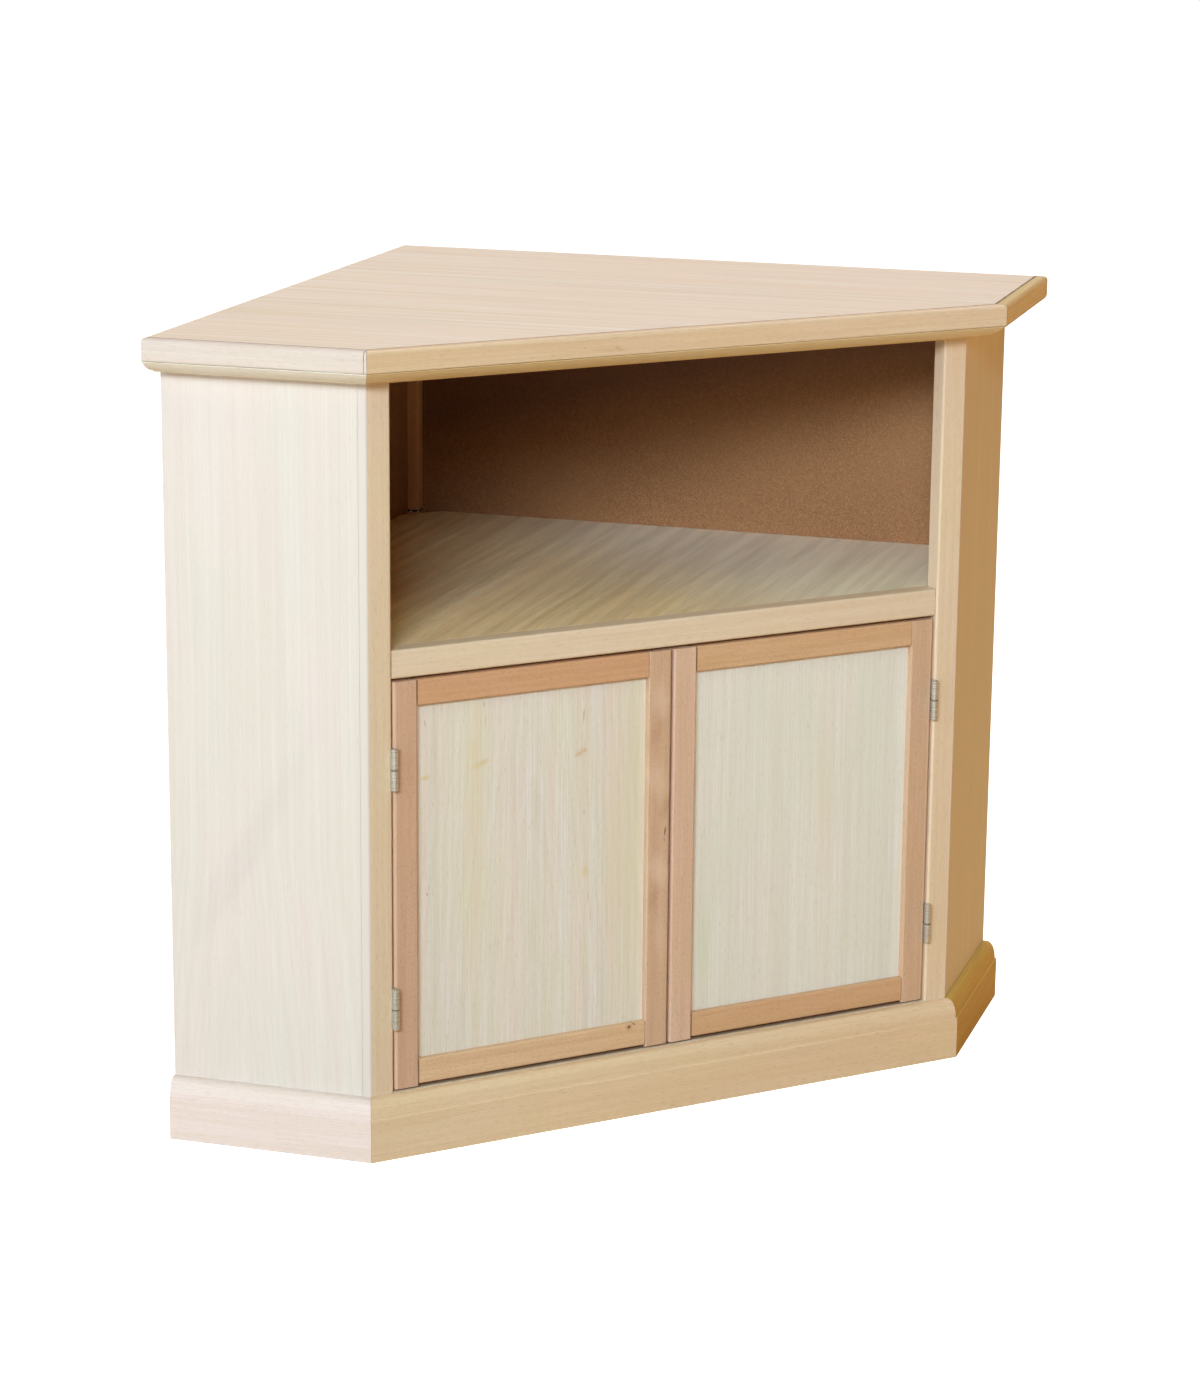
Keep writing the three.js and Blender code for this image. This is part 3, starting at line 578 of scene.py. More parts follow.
def object_place(tree):
    return place(tree, "ShaderNodeTexCoord").outputs["Object"]


def beyond(tree, direction, limit):
    """How far a point of the model lies past a plane."""
    reach = vector_maths(tree, "DOT_PRODUCT", object_place(tree), direction)
    return minus(tree, reach, limit)


def turn_to(along, across):
    """Turns the model's axes so that X runs along the grain and Y across the face."""
    along = along.normalized()
    across = (across - across.dot(along) * along).normalized()
    return Matrix((along, across, along.cross(across)))


def laid(tree, turn, centre):
    """Object coordinates in a piece's own turn, from its centre."""
    mapping = place(tree, "ShaderNodeMapping", {"Vector": object_place(tree)})
    mapping.inputs["Location"].default_value = -(turn @ centre)
    mapping.inputs["Rotation"].default_value = turn.to_euler("XYZ")
    return mapping.outputs["Vector"]


def surface(tree, shader, colour, roughness, height, distance, strength):
    """Feeds a material's colour and roughness, and the relief of its surface."""
    relief = {"Height": height, "Distance": distance, "Strength": strength}
    bump = place(tree, "ShaderNodeBump", relief).outputs["Normal"]
    for name, value in (("Base Color", colour), ("Roughness", roughness), ("Normal", bump)):
        feed(tree, shader.inputs[name], value)


def timber(tree, kind, vector, seed, **grain_values):
    """The sockets of one kind of bare timber: its grain, and its colours."""
    grain = use(tree, GRAIN, vector=vector, seed=seed, **grain_values)
    codes, *strengths = TIMBERS[kind]
    values = dict(zip(TINT_NAMES, [*map(shade, codes.split()), *strengths]))
    masks = {name.lower(): grain[name] for name in GRAIN_MASKS}
    return grain, use(tree, TINT, **values, **masks)


def mark(tree, colour, vector, turn, centre, marks):
    """Adds a node's marks to its colour."""
    for at, length, width, angle, code, strength in marks:
        sizes = {"length": length * MM, "width": width * MM, "turn": math.radians(angle)}
        spot = use(tree, SPOT, vector=vector, centre=turn @ (Vector(at) - centre), **sizes)["Mark"]
        colour = stained(tree, colour, code, spot, strength)
    return colour


def seam(tree, colour, vector, distance, width, code, strength):
    line = use(tree, SEAM, vector=vector, distance=distance, width=width)["Line"]
    return stained(tree, colour, code, line, strength)


def node_centre(name):
    low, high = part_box(name)
    return (low + high) / 2


def finish(node, material, edge):
    """Gives a node its material and takes the sharpness off its edges."""
    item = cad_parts[node]
    item.data.materials.clear()
    item.data.materials.append(material)
    weld = item.modifiers.new("weld", "WELD")
    weld.merge_threshold = WELD_REACH
    if edge:
        bevel = item.modifiers.new("broken edges", "BEVEL")
        bevel.width = edge
        bevel.segments = 2
        bevel.limit_method = "ANGLE"
        bevel.angle_limit = SHARP
        bevel.use_clamp_overlap = True
        level = item.modifiers.new("flat faces stay flat", "WEIGHTED_NORMAL")
        level.keep_sharp = True


def solid_timber(node, kind, along, across, seed, edge=0.3 * MM, name=None, extra=None,
                 **grain_values):
    """Makes a node of sanded timber, its grain along a direction, in its own plank's tone."""
    material, tree, shader = new_material(name or node.replace("_", " "))
    turn, centre = turn_to(along, across), node_centre(node)
    vector = laid(tree, turn, centre)
    _, wood = timber(tree, kind, vector, seed, **grain_values)
    tone = (*TONES.get(node, (1, 1, 1)), 1)
    if node in RIGHT_TONES:
        to_right = ramp(tree, beyond(tree, RIGHT, 0.0), *RIGHT_TONE_RANGE)
        tone = blend(tree, to_right, tone, (*RIGHT_TONES[node], 1))
    colour = multiplied(tree, wood["Color"], tone)
    colour = mark(tree, colour, vector, turn, centre, MARKS.get(node, ()))
    if extra:
        colour = extra(tree, colour, vector)
    surface(tree, shader, colour, wood["Roughness"], wood["Height"], 0.15 * MM, 0.35)
    finish(node, material, edge)


def veneered_board(node, name, kind, along, across, thickness, seed, edge=0.2 * MM, extra=None,
                   **grain_values):
    """Makes a node a veneered board: grain on its faces, and its core where an edge is bare."""
    material, tree, shader = new_material(name)
    turn, centre = turn_to(along, across), node_centre(node)
    vector = laid(tree, turn, centre)
    grain, wood = timber(tree, kind, vector, seed, **grain_values)
    colour = wood["Color"]
    if node in CROWNS:
        at, strength, values = CROWNS[node]
        tip = turn @ (Vector(at) - centre)
        crown = use(tree, FLAME, vector=grain["Vector"], tip=tip.x, centre=tip.y, **values)
        darker = multiplied(tree, colour, shade(CROWN_TINT))
        colour = blend(tree, times(tree, crown["Rings"], strength), colour, darker)
    colour = mark(tree, colour, vector, turn, centre, MARKS.get(node, ()))
    if extra:
        colour = extra(tree, colour, vector)
    depth = parts_of(tree, vector)["Z"]
    core = use(tree, CORE, depth=depth, half_thickness=thickness / 2)["Core"]
    speckle = noise(tree, vector, scale=900.0, detail=3.0, roughness=0.7)
    chips = towards(tree, shade("B99467"), "D9BC90", speckle, 0.35, 0.65)
    colour = blend(tree, core, colour, chips)
    rough = maths(tree, "MULTIPLY_ADD", core, 0.2, wood["Roughness"])
    surface(tree, shader, colour, rough, wood["Height"], 0.12 * MM, 0.3)
    finish(node, material, edge)


def hardboard(side, extra=None):
    """Makes a back panel of brown pressed fibre board with a smooth face."""
    material, tree, shader = new_material(f"hardboard {side}")
    coordinates = object_place(tree)
    fibres = noise(tree, coordinates, scale=650.0, detail=4.0, roughness=0.75)
    flock = noise(tree, coordinates, scale=260.0, detail=3.0, roughness=0.65)
    cloud = noise(tree, coordinates, scale=9.0, detail=2.0)
    colour = towards(tree, shade("825331"), "BC8958", fibres, 0.3, 0.7)
    colour = towards(tree, colour, "8F5D3B", flock, 0.35, 0.65, 0.35)
    colour = towards(tree, colour, "A9794D", cloud, 0.3, 0.7, 0.35)
    if extra:
        colour = extra(tree, colour)
    rough = ramp(tree, fibres, 0.3, 0.7, 0.5, 0.7)
    surface(tree, shader, colour, rough, fibres, 0.1 * MM, 0.3)
    finish(f"back_panel_{side}", material, 0)


def turned_rings(tree, colour):
    """Faint rings round a hinge's barrel, and the dark joint between its two knuckles."""
    coordinates = object_place(tree)
    height = parts_of(tree, coordinates)["Z"]
    bands = noise(tree, vector_of(tree, z=height), scale=620.0, detail=1.0)
    ringed = towards(tree, colour, "A2A09A", bands, 0.4, 0.6, 0.45)
    middles = [node_centre(f"hinge_left_{level}_frame_leaf").z for level in HINGE_LEVELS]
    gaps = [maths(tree, "ABSOLUTE", minus(tree, height, middle)) for middle in middles]
    nearest = maths(tree, "MINIMUM", *gaps)
    return seam(tree, ringed, coordinates, nearest, 0.9 * MM, "3B3833", 0.8)


def zinc(name, code, roughness, extra=None):
    """Zinc-plated steel with faint rolling lines along Z."""
    material, tree, shader = new_material(name)
    coordinates = object_place(tree)
    drawn_out = vector_maths(tree, "MULTIPLY", coordinates, (4000.0, 4000.0, 150.0))
    lines = noise(tree, drawn_out, detail=2.0)
    patches = noise(tree, coordinates, scale=350.0, detail=2.0)
    bloom = noise(tree, coordinates, scale=90.0, detail=2.0)
    colour = towards(tree, shade(code), "BDBFC0", patches, 0.4, 0.7, 0.35)
    colour = towards(tree, colour, "D6D3C6", bloom, 0.45, 0.7, 0.2)
    if extra:
        colour = extra(tree, colour)
    shader.inputs["Metallic"].default_value = 1.0
    rough = ramp(tree, lines, 0.3, 0.7, roughness - 0.08, roughness + 0.1)
    surface(tree, shader, colour, rough, lines, 0.02 * MM, 0.1)
    return material


def moulded_plastic():
    material, tree, shader = new_material("moulded plastic")
    texture = noise(tree, object_place(tree), scale=1500.0, detail=2.0)
    colour = towards(tree, shade("E9E7E1"), "DDDAD2", texture, 0.3, 0.7)
    rough = ramp(tree, texture, 0.3, 0.7, 0.4, 0.52)
    surface(tree, shader, colour, rough, texture, 0.05 * MM, 0.2)
    return material


def ferrite():
    """Dull dark magnet with a fine grey grain."""
    material, tree, shader = new_material("ferrite magnet")
    grit = noise(tree, object_place(tree), scale=2500.0, detail=3.0, roughness=0.7)
    colour = towards(tree, shade("2B2B2D"), "4A4A4C", grit, 0.35, 0.7)
    rough = ramp(tree, grit, 0.3, 0.7, 0.45, 0.65)
    surface(tree, shader, colour, rough, grit, 0.05 * MM, 0.3)
    return material


# Joints, glue, dirt, and painted light and shade


def board_joint(tree, colour, vector):
    """The brown glue line between the top board and its edging."""
    left, right = (beyond(tree, out, BOARD_SIDE) for out in (LEFT_OUT, RIGHT_OUT))
    sides = maths(tree, "MAXIMUM", left, right)
    edge = maths(tree, "MAXIMUM", beyond(tree, -INTO, BOARD_FRONT), sides)
    return seam(tree, colour, vector, edge, 1.9 * MM, "6B3E0C", 0.85)


def sanded_mitre(tree, colour, vector):
    """The board joint, and the mitre of the left edging, sanded back round the corner."""
    jointed = board_joint(tree, colour, vector)
    mitre = beyond(tree, LEFT_RUN, MITRE_LINE)
    return seam(tree, jointed, vector, mitre, 0.7 * MM, "6A4C2E", 0.75)


def joint_and_shaded_top(tree, colour, vector):
    """The board joint, and painted shade that makes the right edging's upper face browner."""
    upper = ramp(tree, beyond(tree, UP, EDGING_BOTTOM), 16.5 * MM, 19.5 * MM, 0.0, 0.85)
    browner = multiplied(tree, colour, (0.84, 0.70, 0.57, 1))
    return board_joint(tree, blend(tree, upper, colour, browner), vector)


def edging_shadow_and_lit_foot(tree, colour, vector):
    """A dark line of painted shadow along the joint where the moulding meets the edging over it,
    and painted light that makes the moulding's foot pale.
    """
    height = beyond(tree, UP, EDGING_BOTTOM)
    foot = ramp(tree, height, -12 * MM, -7 * MM, 1.0, 0.0)
    paler = multiplied(tree, colour, (1.12, 1.12, 1.11, 1))
    return seam(tree, blend(tree, foot, colour, paler), vector, height, 0.9 * MM, "7A5A38", 0.7)


def end_joints(half_length):
    """Thin dark lines where a rail's ends meet the stiles."""

    def add(tree, colour, vector):
        along = maths(tree, "ABSOLUTE", parts_of(tree, vector)["X"])
        away = minus(tree, half_length, along)
        return seam(tree, colour, vector, away, 0.9 * MM, "5F3B22", 0.6)

    return add


def top_faces(tree, colour, vector):
    """The top board's joint above, and its darker backing veneer below."""
    jointed = board_joint(tree, colour, vector)
    below = ramp(tree, parts_of(tree, vector)["Z"], -1.0 * MM, 1.0 * MM, 1.0, 0.0)
    return blend(tree, below, jointed, shade("CDAE88"))


def painted_light_and_streaks(tree, colour, vector):
    """The shelf's veneer with strong streaks, and painted light that makes it paler and greyer
    towards the right.
    """
    to_right = ramp(tree, beyond(tree, RIGHT, SHELF_LIGHT_LEFT), 0.0, SHELF_LIGHT_WIDTH, 0.0, 0.75)
    yellowed = multiplied(tree, colour, (1.06, 1.01, 0.84, 1))
    lit_right = blend(tree, to_right, yellowed, shade("FAF4E9"))
    figure = use(tree, GRAIN, vector=vector, seed=83.0, streak_width=13 * MM, streak_length=0.25)
    lightness = blend(tree, figure["Streaks"], (1.10, 1.10, 1.09, 1), (0.89, 0.88, 0.86, 1))
    return multiplied(tree, lit_right, lightness)


def shade_and_dirt_under_doors(tree, colour, vector):
    """Painted shade, with some brown dirt, in the narrow strip of the floor under the doors' lower
    edges.
    """
    inwards = beyond(tree, INTO, DOOR_FACE)
    front = ramp(tree, inwards, 2 * MM, 4 * MM)
    rear = ramp(tree, inwards, 9 * MM, 13 * MM, 1.0, 0.0)
    return stained(tree, colour, "6A4008", times(tree, front, rear), 0.6)


def painted_shade_corner(tree, colour):
    """Painted shade on the right back panel's inner face, darker up in the corner under the top."""
    height = beyond(tree, PAINTED_SHADE_RISE, PAINTED_SHADE_START)
    inner = ramp(tree, beyond(tree, RIGHT_RUN, BACK_MIDDLE), -0.5 * MM, 0.5 * MM, 1.0, 0.0)
    corner_shade = times(tree, inner, ramp(tree, height, -10 * MM, 60 * MM, 0.0, 0.55))
    return blend(tree, corner_shade, colour, shade("3A1020"))


def painted_highlight_edge(side):
    """A painted highlight, paler than the face, on the outer 3 mm of a door by its hinges."""

    def add(tree, colour, vector):
        outer = ramp(tree, beyond(tree, RIGHT * side, DOOR_EDGE), -3.4 * MM, -2.6 * MM)
        return stained(tree, colour, "EFC9AE", outer, 0.55)

    return add


def side_lip(out, code):
    """The stile's narrow outer face, as pale as the side that it meets, whose colour is painted
    light on the left and painted shade on the right.
    """

    def add(tree, colour, vector):
        return towards(tree, colour, code, beyond(tree, out, SIDE_FACE), -1.5 * MM, -0.5 * MM)

    return add


def shaded_gap_at_post(tree, colour, vector):
    """Painted shade standing in for a dark gap where the post meets the shelf, with specks of dried
    glue.
    """
    height = beyond(tree, UP, SHELF_TOP)
    low = ramp(tree, height, 1.0 * MM, 2.6 * MM, 1.0, 0.0)
    above = ramp(tree, height, -1.0 * MM, 0.0)
    in_bay = ramp(tree, beyond(tree, INTO, POST_MIDDLE), -1.0 * MM, 0.0, 1.0, 0.0)
    near = times(tree, times(tree, low, above), in_bay)
    specks = noise(tree, vector, scale=520.0, detail=1.0)
    gap = towards(tree, shade("2E2014"), "D8D0BE", specks, 0.56, 0.62)
    return blend(tree, near, colour, gap)


# Dressing of the nodes

EDGING_EXTRAS = {"left": sanded_mitre, "front": board_joint, "right": joint_and_shaded_top}
STILE_LIPS = {"left": side_lip(LEFT_OUT, "DCD0C9"), "right": side_lip(RIGHT_OUT, "E6D6C1")}
SHELF_GRAIN_TURN = math.radians(-1)  # from the line of the right side
BEECH_GRAIN = {
    "streak_width": 6 * MM,
    "band_width": 14 * MM,
    "fibre_width": 0.8 * MM,
    "fibre_length": 34 * MM,
    "pore_width": 0.4 * MM,
    "pore_length": 2.6 * MM,
}


def dress_top():
    veneered_board(
        "top_board", "top veneer", "top veneer", -LEFT_RUN, RIGHT_RUN, TOP_THICKNESS, seed=3.1,
        extra=top_faces, streak_width=9 * MM, streak_length=0.45, band_width=38 * MM,
        fibre_length=0.12, wander=6 * MM,
    )
    for number, (name, run) in enumerate(RUNS.items()):
        solid_timber(
            f"top_edging_{name}", f"edging {name}", run, UP, seed=5.3 + number, edge=0.25 * MM,
            extra=EDGING_EXTRAS[name], streak_width=3.5 * MM, streak_length=0.25,
            band_width=9 * MM,
        )
        solid_timber(
            f"cornice_{name}", f"cornice {name}", run, UP, seed=15.1 + number, edge=0.2 * MM,
            extra=edging_shadow_and_lit_foot, streak_width=3 * MM,
        )
        solid_timber(
            f"plinth_{name}", f"solid {name}", run, UP, seed=9.7 + number,
            streak_width=8 * MM, streak_length=0.35, band_width=22 * MM,
        )


def dress_sides():
    for name in SIDES:
        left = name == "left"
        kind = f"side veneer {name}"
        veneered_board(
            f"side_panel_{name}", kind, kind, UP, RUNS[name], BOARD_THICKNESS,
            seed=11.3 if left else 17.9, edge=0.1 * MM, streak_width=8 * MM, streak_length=0.7,
            band_width=26 * MM, fibre_length=0.15, wander=5 * MM,
        )
        solid_timber(
            f"front_stile_{name}", "solid front", UP, RIGHT, seed=21.0 if left else 23.0,
            edge=0.1 * MM, extra=STILE_LIPS[name],
            streak_width=5 * MM, streak_length=0.6, band_width=12 * MM,
        )


def dress_carcass():
    solid_timber("corner_post", "post", UP, RIGHT, seed=31.0, extra=shaded_gap_at_post, streak_width=5 * MM)
    hardboard("left")
    hardboard("right", painted_shade_corner)
    grain_run = Matrix.Rotation(SHELF_GRAIN_TURN, 3, "Z") @ RIGHT_RUN
    for name, seed, extra in (("shelf", 41.0, painted_light_and_streaks), ("floor", 43.0, shade_and_dirt_under_doors)):
        veneered_board(
            f"{name}_board", f"{name} board", "shelf veneer", grain_run, LEFT_RUN,
            BOARD_THICKNESS, seed, extra=extra, streak_width=11 * MM, streak_length=0.5,
            band_width=50 * MM, fibre_width=1.4 * MM, fibre_length=30 * MM, wander=18 * MM,
        )
    solid_timber(
        "shelf_front_rail", "solid front", RIGHT, UP, seed=47.0, name="shelf rail",
        extra=end_joints(SHELF_RAIL_HALF), streak_width=5 * MM, streak_length=0.3,
        band_width=12 * MM,
    )
    for name in SIDES:
        for level, seed in CLEAT_SEEDS.items():
            solid_timber(f"{level}_cleat_{name}", "batten", RUNS[name], UP, seed)
        solid_timber(f"plinth_block_{name}", "batten", RIGHT, UP, seed=57.0)


def dress_doors():
    for name, side in SIDES.items():
        members = {
            "outer_stile": painted_highlight_edge(side),
            "inner_stile": None,
            "top_rail": end_joints(DOOR_RAIL_HALF),
            "bottom_rail": end_joints(DOOR_RAIL_HALF),
        }
        for number, (member, extra) in enumerate(members.items()):
            stile = member.endswith("stile")
            kind, along, across = ("frame", UP, RIGHT) if stile else ("rail", RIGHT, UP)
            solid_timber(
                f"door_{name}_{member}", kind, along, across, seed=61.0 + number + 7 * side,
                edge=0.4 * MM, extra=extra, **BEECH_GRAIN,
            )
        veneered_board(
            f"door_{name}_panel", f"door panel {name}", f"panel {name}", UP, RIGHT,
            PANEL_THICKNESS, seed=71.0 + 4 * side, streak_width=6 * MM, streak_length=0.6,
            band_width=20 * MM, fibre_width=1.3 * MM, fibre_length=0.12, wander=4 * MM,
        )


def dress_fittings():
    hinge = zinc("zinc-plated hinge", "E6E6E6", 0.48, turned_rings)
    strike = zinc("bright strike plate", "DFE0E1", 0.3)
    plastic = moulded_plastic()
    for name in SIDES:
        for level in HINGE_LEVELS:
            for leaf in LEAF_FACES:
                finish(f"hinge_{name}_{level}_{leaf}_leaf", hinge, 0)
        finish(f"strike_plate_{name}", strike, 0.15 * MM)
        finish(f"magnet_catch_{name}", plastic, 0.3 * MM)


# Screws and magnets

# Profiles from the head's face inwards: radius and depth in mm. Recess: half width, arm, depth.
HINGE_SCREW = (((1.62, 0), (1.05, 0.7), (1.0, 1.2), (0.95, 10), (0.15, 12.5)), (0.22, 0.95, 0.45))
STRIKE_SCREW = (((2.2, 0), (2.1, 0.2), (1.1, 1.3), (1.0, 9), (0.15, 11)), (0.28, 1.3, 0.6))
CATCH_SCREW = (
    ((1.7, 0), (2.3, 0.25), (2.65, 0.75), (2.7, 1.5), (1.25, 1.5), (1.2, 12), (0.2, 14)),
    (0.28, 1.3, 0.7),
)
CATCH_HEAD = 1.5 * MM  # height of a catch screw's domed head
CLEAT_SCREW = (((3.4, 0), (3.3, 0.3), (1.7, 2.3), (1.6, 24), (0.2, 28)), (0.4, 1.9, 1.0))
SCREW_SIDES = 20
RECESS_TAPER = 0.2  # of half its width, towards its bottom
FIRST_TURN, NEXT_TURN = 17, 38  # degrees from one screw of a row to the next


def head_faces(bm):
    """The level faces of a screw that look up at height zero."""
    faces = [face for face in bm.faces if face.normal.z > 0.9]
    return [face for face in faces if abs(face.calc_center_median().z) < 0.01 * MM]


def turned_screw(name, profile, recess):
    """A cross-head screw on its own, with its face at the origin and its tip down."""
    bm = bmesh.new()
    radius, depth = profile[0]
    bmesh.ops.create_circle(bm, cap_ends=True, segments=SCREW_SIDES, radius=radius * MM)
    ring = list(bm.edges)
    for next_radius, next_depth in profile[1:]:
        grown = bmesh.ops.extrude_edge_only(bm, edges=ring)["geom"]
        verts = [item for item in grown if isinstance(item, bmesh.types.BMVert)]
        shrink = next_radius / radius
        bmesh.ops.scale(bm, vec=(shrink, shrink, 1), verts=verts)
        bmesh.ops.translate(bm, vec=-UP * (next_depth - depth) * MM, verts=verts)
        ring = [edge for edge in bm.edges if all(vert in verts for vert in edge.verts)]
        radius, depth = next_radius, next_depth
    bmesh.ops.edgeloop_fill(bm, edges=ring)
    bmesh.ops.recalc_face_normals(bm, faces=bm.faces)
    half, arm, sunk = (value * MM for value in recess)
    for normal in (RIGHT, INTO):
        for reach in (-arm, -half, half, arm):
            flat = head_faces(bm)
            edges = {edge for face in flat for edge in face.edges}
            points = {vert for face in flat for vert in face.verts}
            bmesh.ops.bisect_plane(bm, geom=[*flat, *edges, *points], plane_co=normal * reach,
                                   plane_no=normal)
    cross = []
    for face in head_faces(bm):
        x, y = (abs(value) for value in face.calc_center_median().xy)
        if (x < half and y < arm) or (y < half and x < arm):
            cross.append(face)
    bmesh.ops.inset_region(bm, faces=cross, thickness=half * RECESS_TAPER,
                           depth=-sunk, use_even_offset=True)
    return mesh_of(bm, name)


def add_piece(name, bm, material, body):
    mesh = mesh_of(bm, name)
    mesh.materials.append(material)
    piece = new_object(name, mesh)
    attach(piece, body)


def drive_screws(name, pattern, places, out, material, body):
    """Copies of one screw with their faces at the places, each turned a little differently."""
    bm = bmesh.new()
    upright = out.to_track_quat("Z", "Y").to_matrix().to_4x4()
    for number, at in enumerate(places):
        before = set(bm.verts)
        bm.from_mesh(pattern)
        fresh = [vert for vert in bm.verts if vert not in before]
        spin = Matrix.Rotation(math.radians(FIRST_TURN + NEXT_TURN * number), 4, "Z")
        bmesh.ops.transform(bm, matrix=Matrix.Translation(at) @ upright @ spin, verts=fresh)
    add_piece(name, bm, material, body)


def add_bar(bm, centre, size, edge):
    """A rectangular bar with broken edges."""
    verts = bmesh.ops.create_cube(bm, size=1)["verts"]
    bmesh.ops.scale(bm, vec=size, verts=verts)
    bmesh.ops.translate(bm, vec=centre, verts=verts)
    edges = list({edge for vert in verts for edge in vert.link_edges})
    bmesh.ops.bevel(bm, geom=edges, offset=edge, affect="EDGES", segments=2, profile=0.5,
                    material=-1)


def add_hinge_screws(material):
    pattern = turned_screw("hinge screw", *HINGE_SCREW)
    for name, side in SIDES.items():
        for level in HINGE_LEVELS:
            middle = node_centre(f"hinge_{name}_{level}_frame_leaf").z
            heights = (middle + HINGE_SCREWS, middle - HINGE_SCREWS)
            for leaf, x in LEAF_FACES.items():
                on_door = leaf == "door"
                places = [Vector((side * x, LEAF_MIDDLE, height)) for height in heights]
                drive_screws(
                    f"hinge_screws_{name}_{level}_{leaf}", pattern, places,
                    RIGHT * (side if on_door else -side), material,
                    f"door_{name}" if on_door else "carcass",
                )


def add_catch_fixings(material, steel, magnet):
    long_screw = turned_screw("catch screw", *CATCH_SCREW)
    short_screw = turned_screw("strike screw", *STRIKE_SCREW)
    for name in SIDES:
        catch = node_centre(f"magnet_catch_{name}")
        plate = node_centre(f"strike_plate_{name}")
        heads = CATCH_FLANGE - CATCH_HEAD
        ears = [Vector((catch.x + way * CATCH_EARS, catch.y, heads)) for way in (-1, 1)]
        drive_screws(f"catch_screws_{name}", long_screw, ears, -UP, material, "carcass")
        face = STRIKE_FACE + PROUD
        ends = [Vector((plate.x + way * STRIKE_SCREWS, face, plate.z)) for way in (-1, 1)]
        drive_screws(f"strike_screws_{name}", short_screw, ends, INTO, material,
                     f"door_{name}")
        bars = bmesh.new()
        middle = CATCH_FACE - 2 * PROUD + POLE_SIZE.y / 2
        for height in POLE_HEIGHTS:
            add_bar(bars, Vector((catch.x, middle, plate.z + height)), POLE_SIZE, 0.2 * MM)
        add_piece(f"magnet_poles_{name}", bars, steel, "carcass")
        block = bmesh.new()
        middle = CATCH_FACE - PROUD + MAGNET_SIZE.y / 2
        add_bar(block, Vector((catch.x, middle, plate.z + MAGNET_HEIGHT)), MAGNET_SIZE, 0.3 * MM)
        add_piece(f"magnet_{name}", block, magnet, "carcass")


def add_cleat_screws(material):
    pattern = turned_screw("cleat screw", *CLEAT_SCREW)
    for name, outward in (("left", LEFT_OUT), ("right", RIGHT_OUT)):
        for level in CLEAT_SEEDS:
            middle = node_centre(f"{level}_cleat_{name}")
            face = middle + outward * (CLEAT_FACE - PROUD - middle.dot(outward))
            places = [face + RUNS[name] * way * CLEAT_SCREWS for way in (-1, 0, 1)]
            drive_screws(f"{level}_cleat_screws_{name}", pattern, places, -outward, material,
                         "carcass")


def add_fixings():
    plated = zinc("zinc-plated screw", "D6D7D8", 0.36)
    steel = zinc("bright pole plate", "CFD0D1", 0.22)
    add_hinge_screws(plated)
    add_catch_fixings(plated, steel, ferrite())
    add_cleat_screws(plated)


# Stage


def direction(azimuth, elevation):
    """From the model towards a camera or a light, by its bearing from the front."""
    flat = math.cos(elevation)
    return Vector((math.sin(azimuth) * flat, -math.cos(azimuth) * flat, math.sin(elevation)))


def set_camera():
    data = bpy.data.cameras.new("camera")
    data.lens = CAMERA_LENS
    data.sensor_width = 36
    data.clip_end = 200
    camera = new_object("camera", data)
    back = direction(CAMERA_AZIMUTH, CAMERA_ELEVATION)
    level = (-back).cross(UP).normalized()
    upward = level.cross(-back)
    roll = Matrix.Rotation(CAMERA_ROLL, 3, back)
    axes = Matrix((roll @ level, roll @ upward, back)).transposed()
    camera.matrix_world = Matrix.Translation(CAMERA_AT) @ axes.to_4x4()
    scene.camera = camera


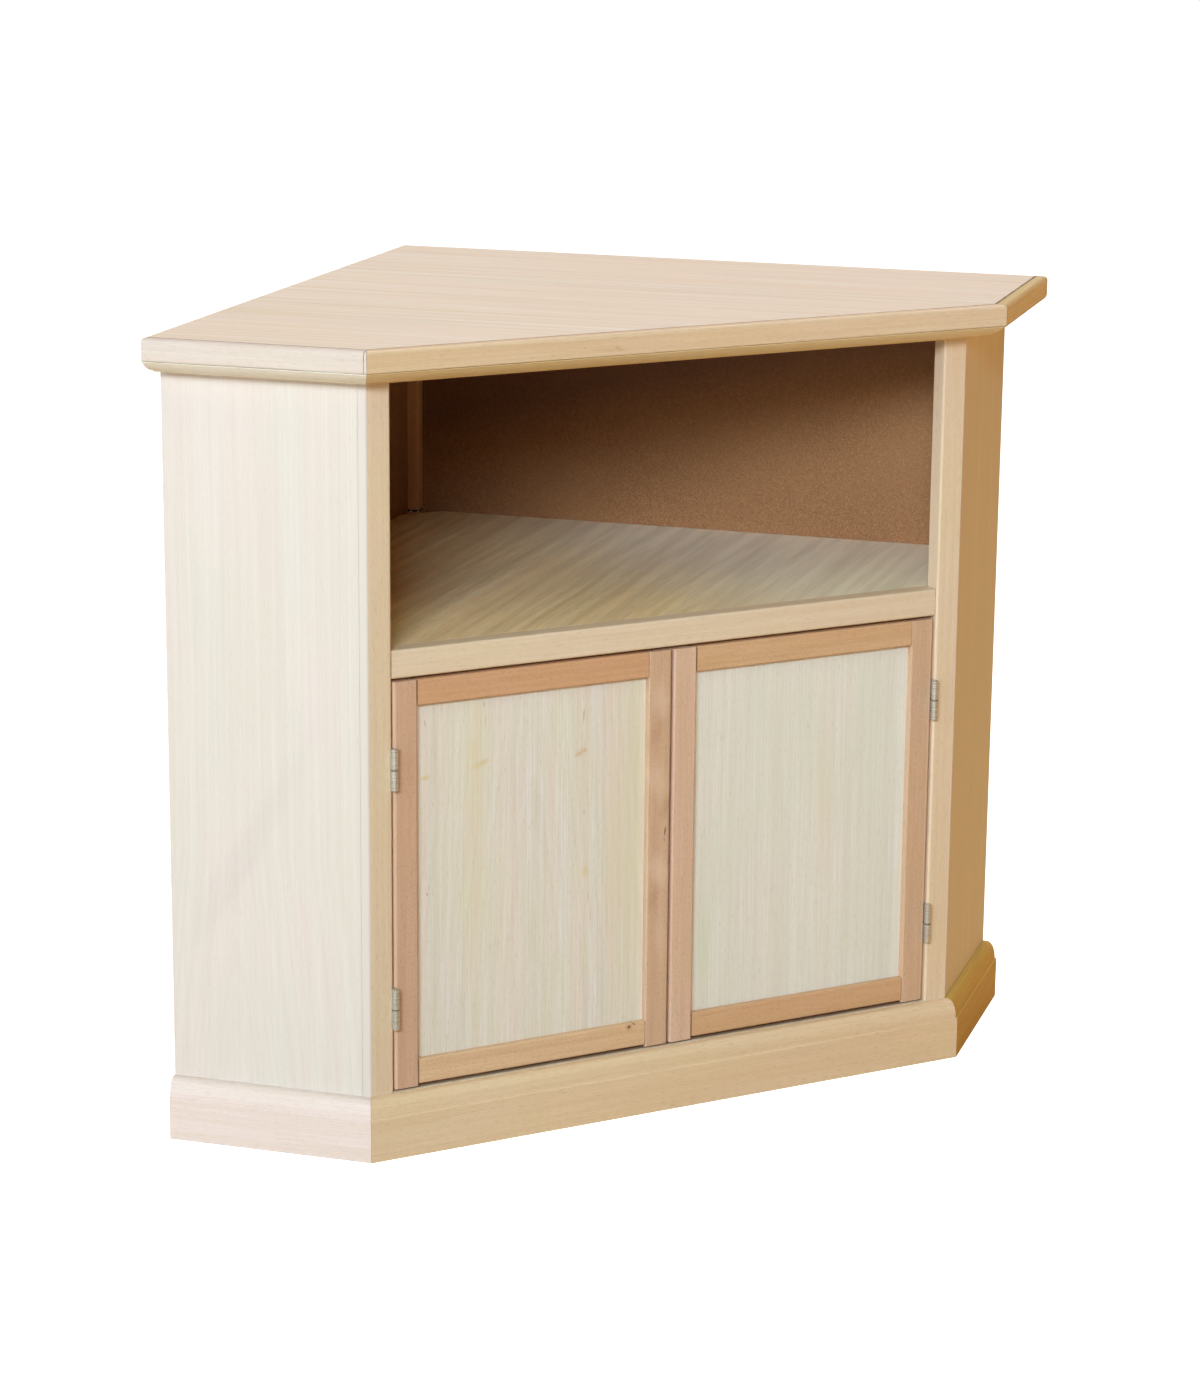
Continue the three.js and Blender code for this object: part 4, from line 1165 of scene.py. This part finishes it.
def softbox(name, azimuth, elevation, distance, size, power, colour):
    """A rectangular area light of a width and a height, placed by where it shines from."""
    data = bpy.data.lights.new(name, "AREA")
    data.shape = "RECTANGLE"
    data.size, data.size_y = size
    data.energy = power
    data.color = colour
    light = new_object(name, data)
    back = direction(math.radians(azimuth), math.radians(elevation))
    light.location = LIGHT_AIM + back * distance
    light.rotation_euler = back.to_track_quat("Z", "Y").to_euler()
    light.visible_camera = False


def seen_and_lit(tree, seen, lit):
    """One shader for what the camera sees and another for the light that comes off."""
    path = place(tree, "ShaderNodeLightPath").outputs["Is Camera Ray"]
    return place(tree, "ShaderNodeMixShader", {0: path, 1: lit, 2: seen}).outputs[0]


def set_world():
    world = bpy.data.worlds.new("studio")
    world.use_nodes = True
    tree = world.node_tree
    tree.nodes.clear()
    looks = ({"Color": WHITE, "Strength": 1.0}, {"Color": ROOM_GLOW, "Strength": ROOM_STRENGTH})
    seen, lit = (place(tree, "ShaderNodeBackground", look).outputs[0] for look in looks)
    place(tree, "ShaderNodeOutputWorld", {"Surface": seen_and_lit(tree, seen, lit)})
    scene.world = world


def set_floor():
    """A wide pale floor, bright to the camera, that sends warm light back up."""
    bm = bmesh.new()
    bmesh.ops.create_circle(bm, cap_ends=True, segments=64, radius=FLOOR_RADIUS)
    mesh = mesh_of(bm, "floor")
    floor = new_object("floor", mesh)
    material, tree, shader = new_material("pale floor")
    shader.inputs["Base Color"].default_value = FLOOR_COLOUR
    shader.inputs["Roughness"].default_value = 0.8
    glow = place(tree, "ShaderNodeEmission", {"Color": WHITE, "Strength": 1.0}).outputs[0]
    seen = place(tree, "ShaderNodeAddShader", {0: shader.outputs[0], 1: glow}).outputs[0]
    to_right = ramp(tree, parts_of(tree, object_place(tree))["X"], *BOUNCE_RANGE)
    bounce = blend(tree, to_right, BOUNCE_LEFT, BOUNCE_RIGHT)
    lit = place(tree, "ShaderNodeBsdfDiffuse", {"Color": bounce}).outputs[0]
    feed(tree, tree.nodes["Material Output"].inputs["Surface"], seen_and_lit(tree, seen, lit))
    mesh.materials.append(material)


set_camera()
set_world()
set_floor()
for light, values in LIGHTS.items():
    softbox(light, *values)
scene.view_settings.view_transform = "Standard"
scene.view_settings.look = "None"

dress_top()
dress_sides()
dress_carcass()
dress_doors()
dress_fittings()
add_fixings()
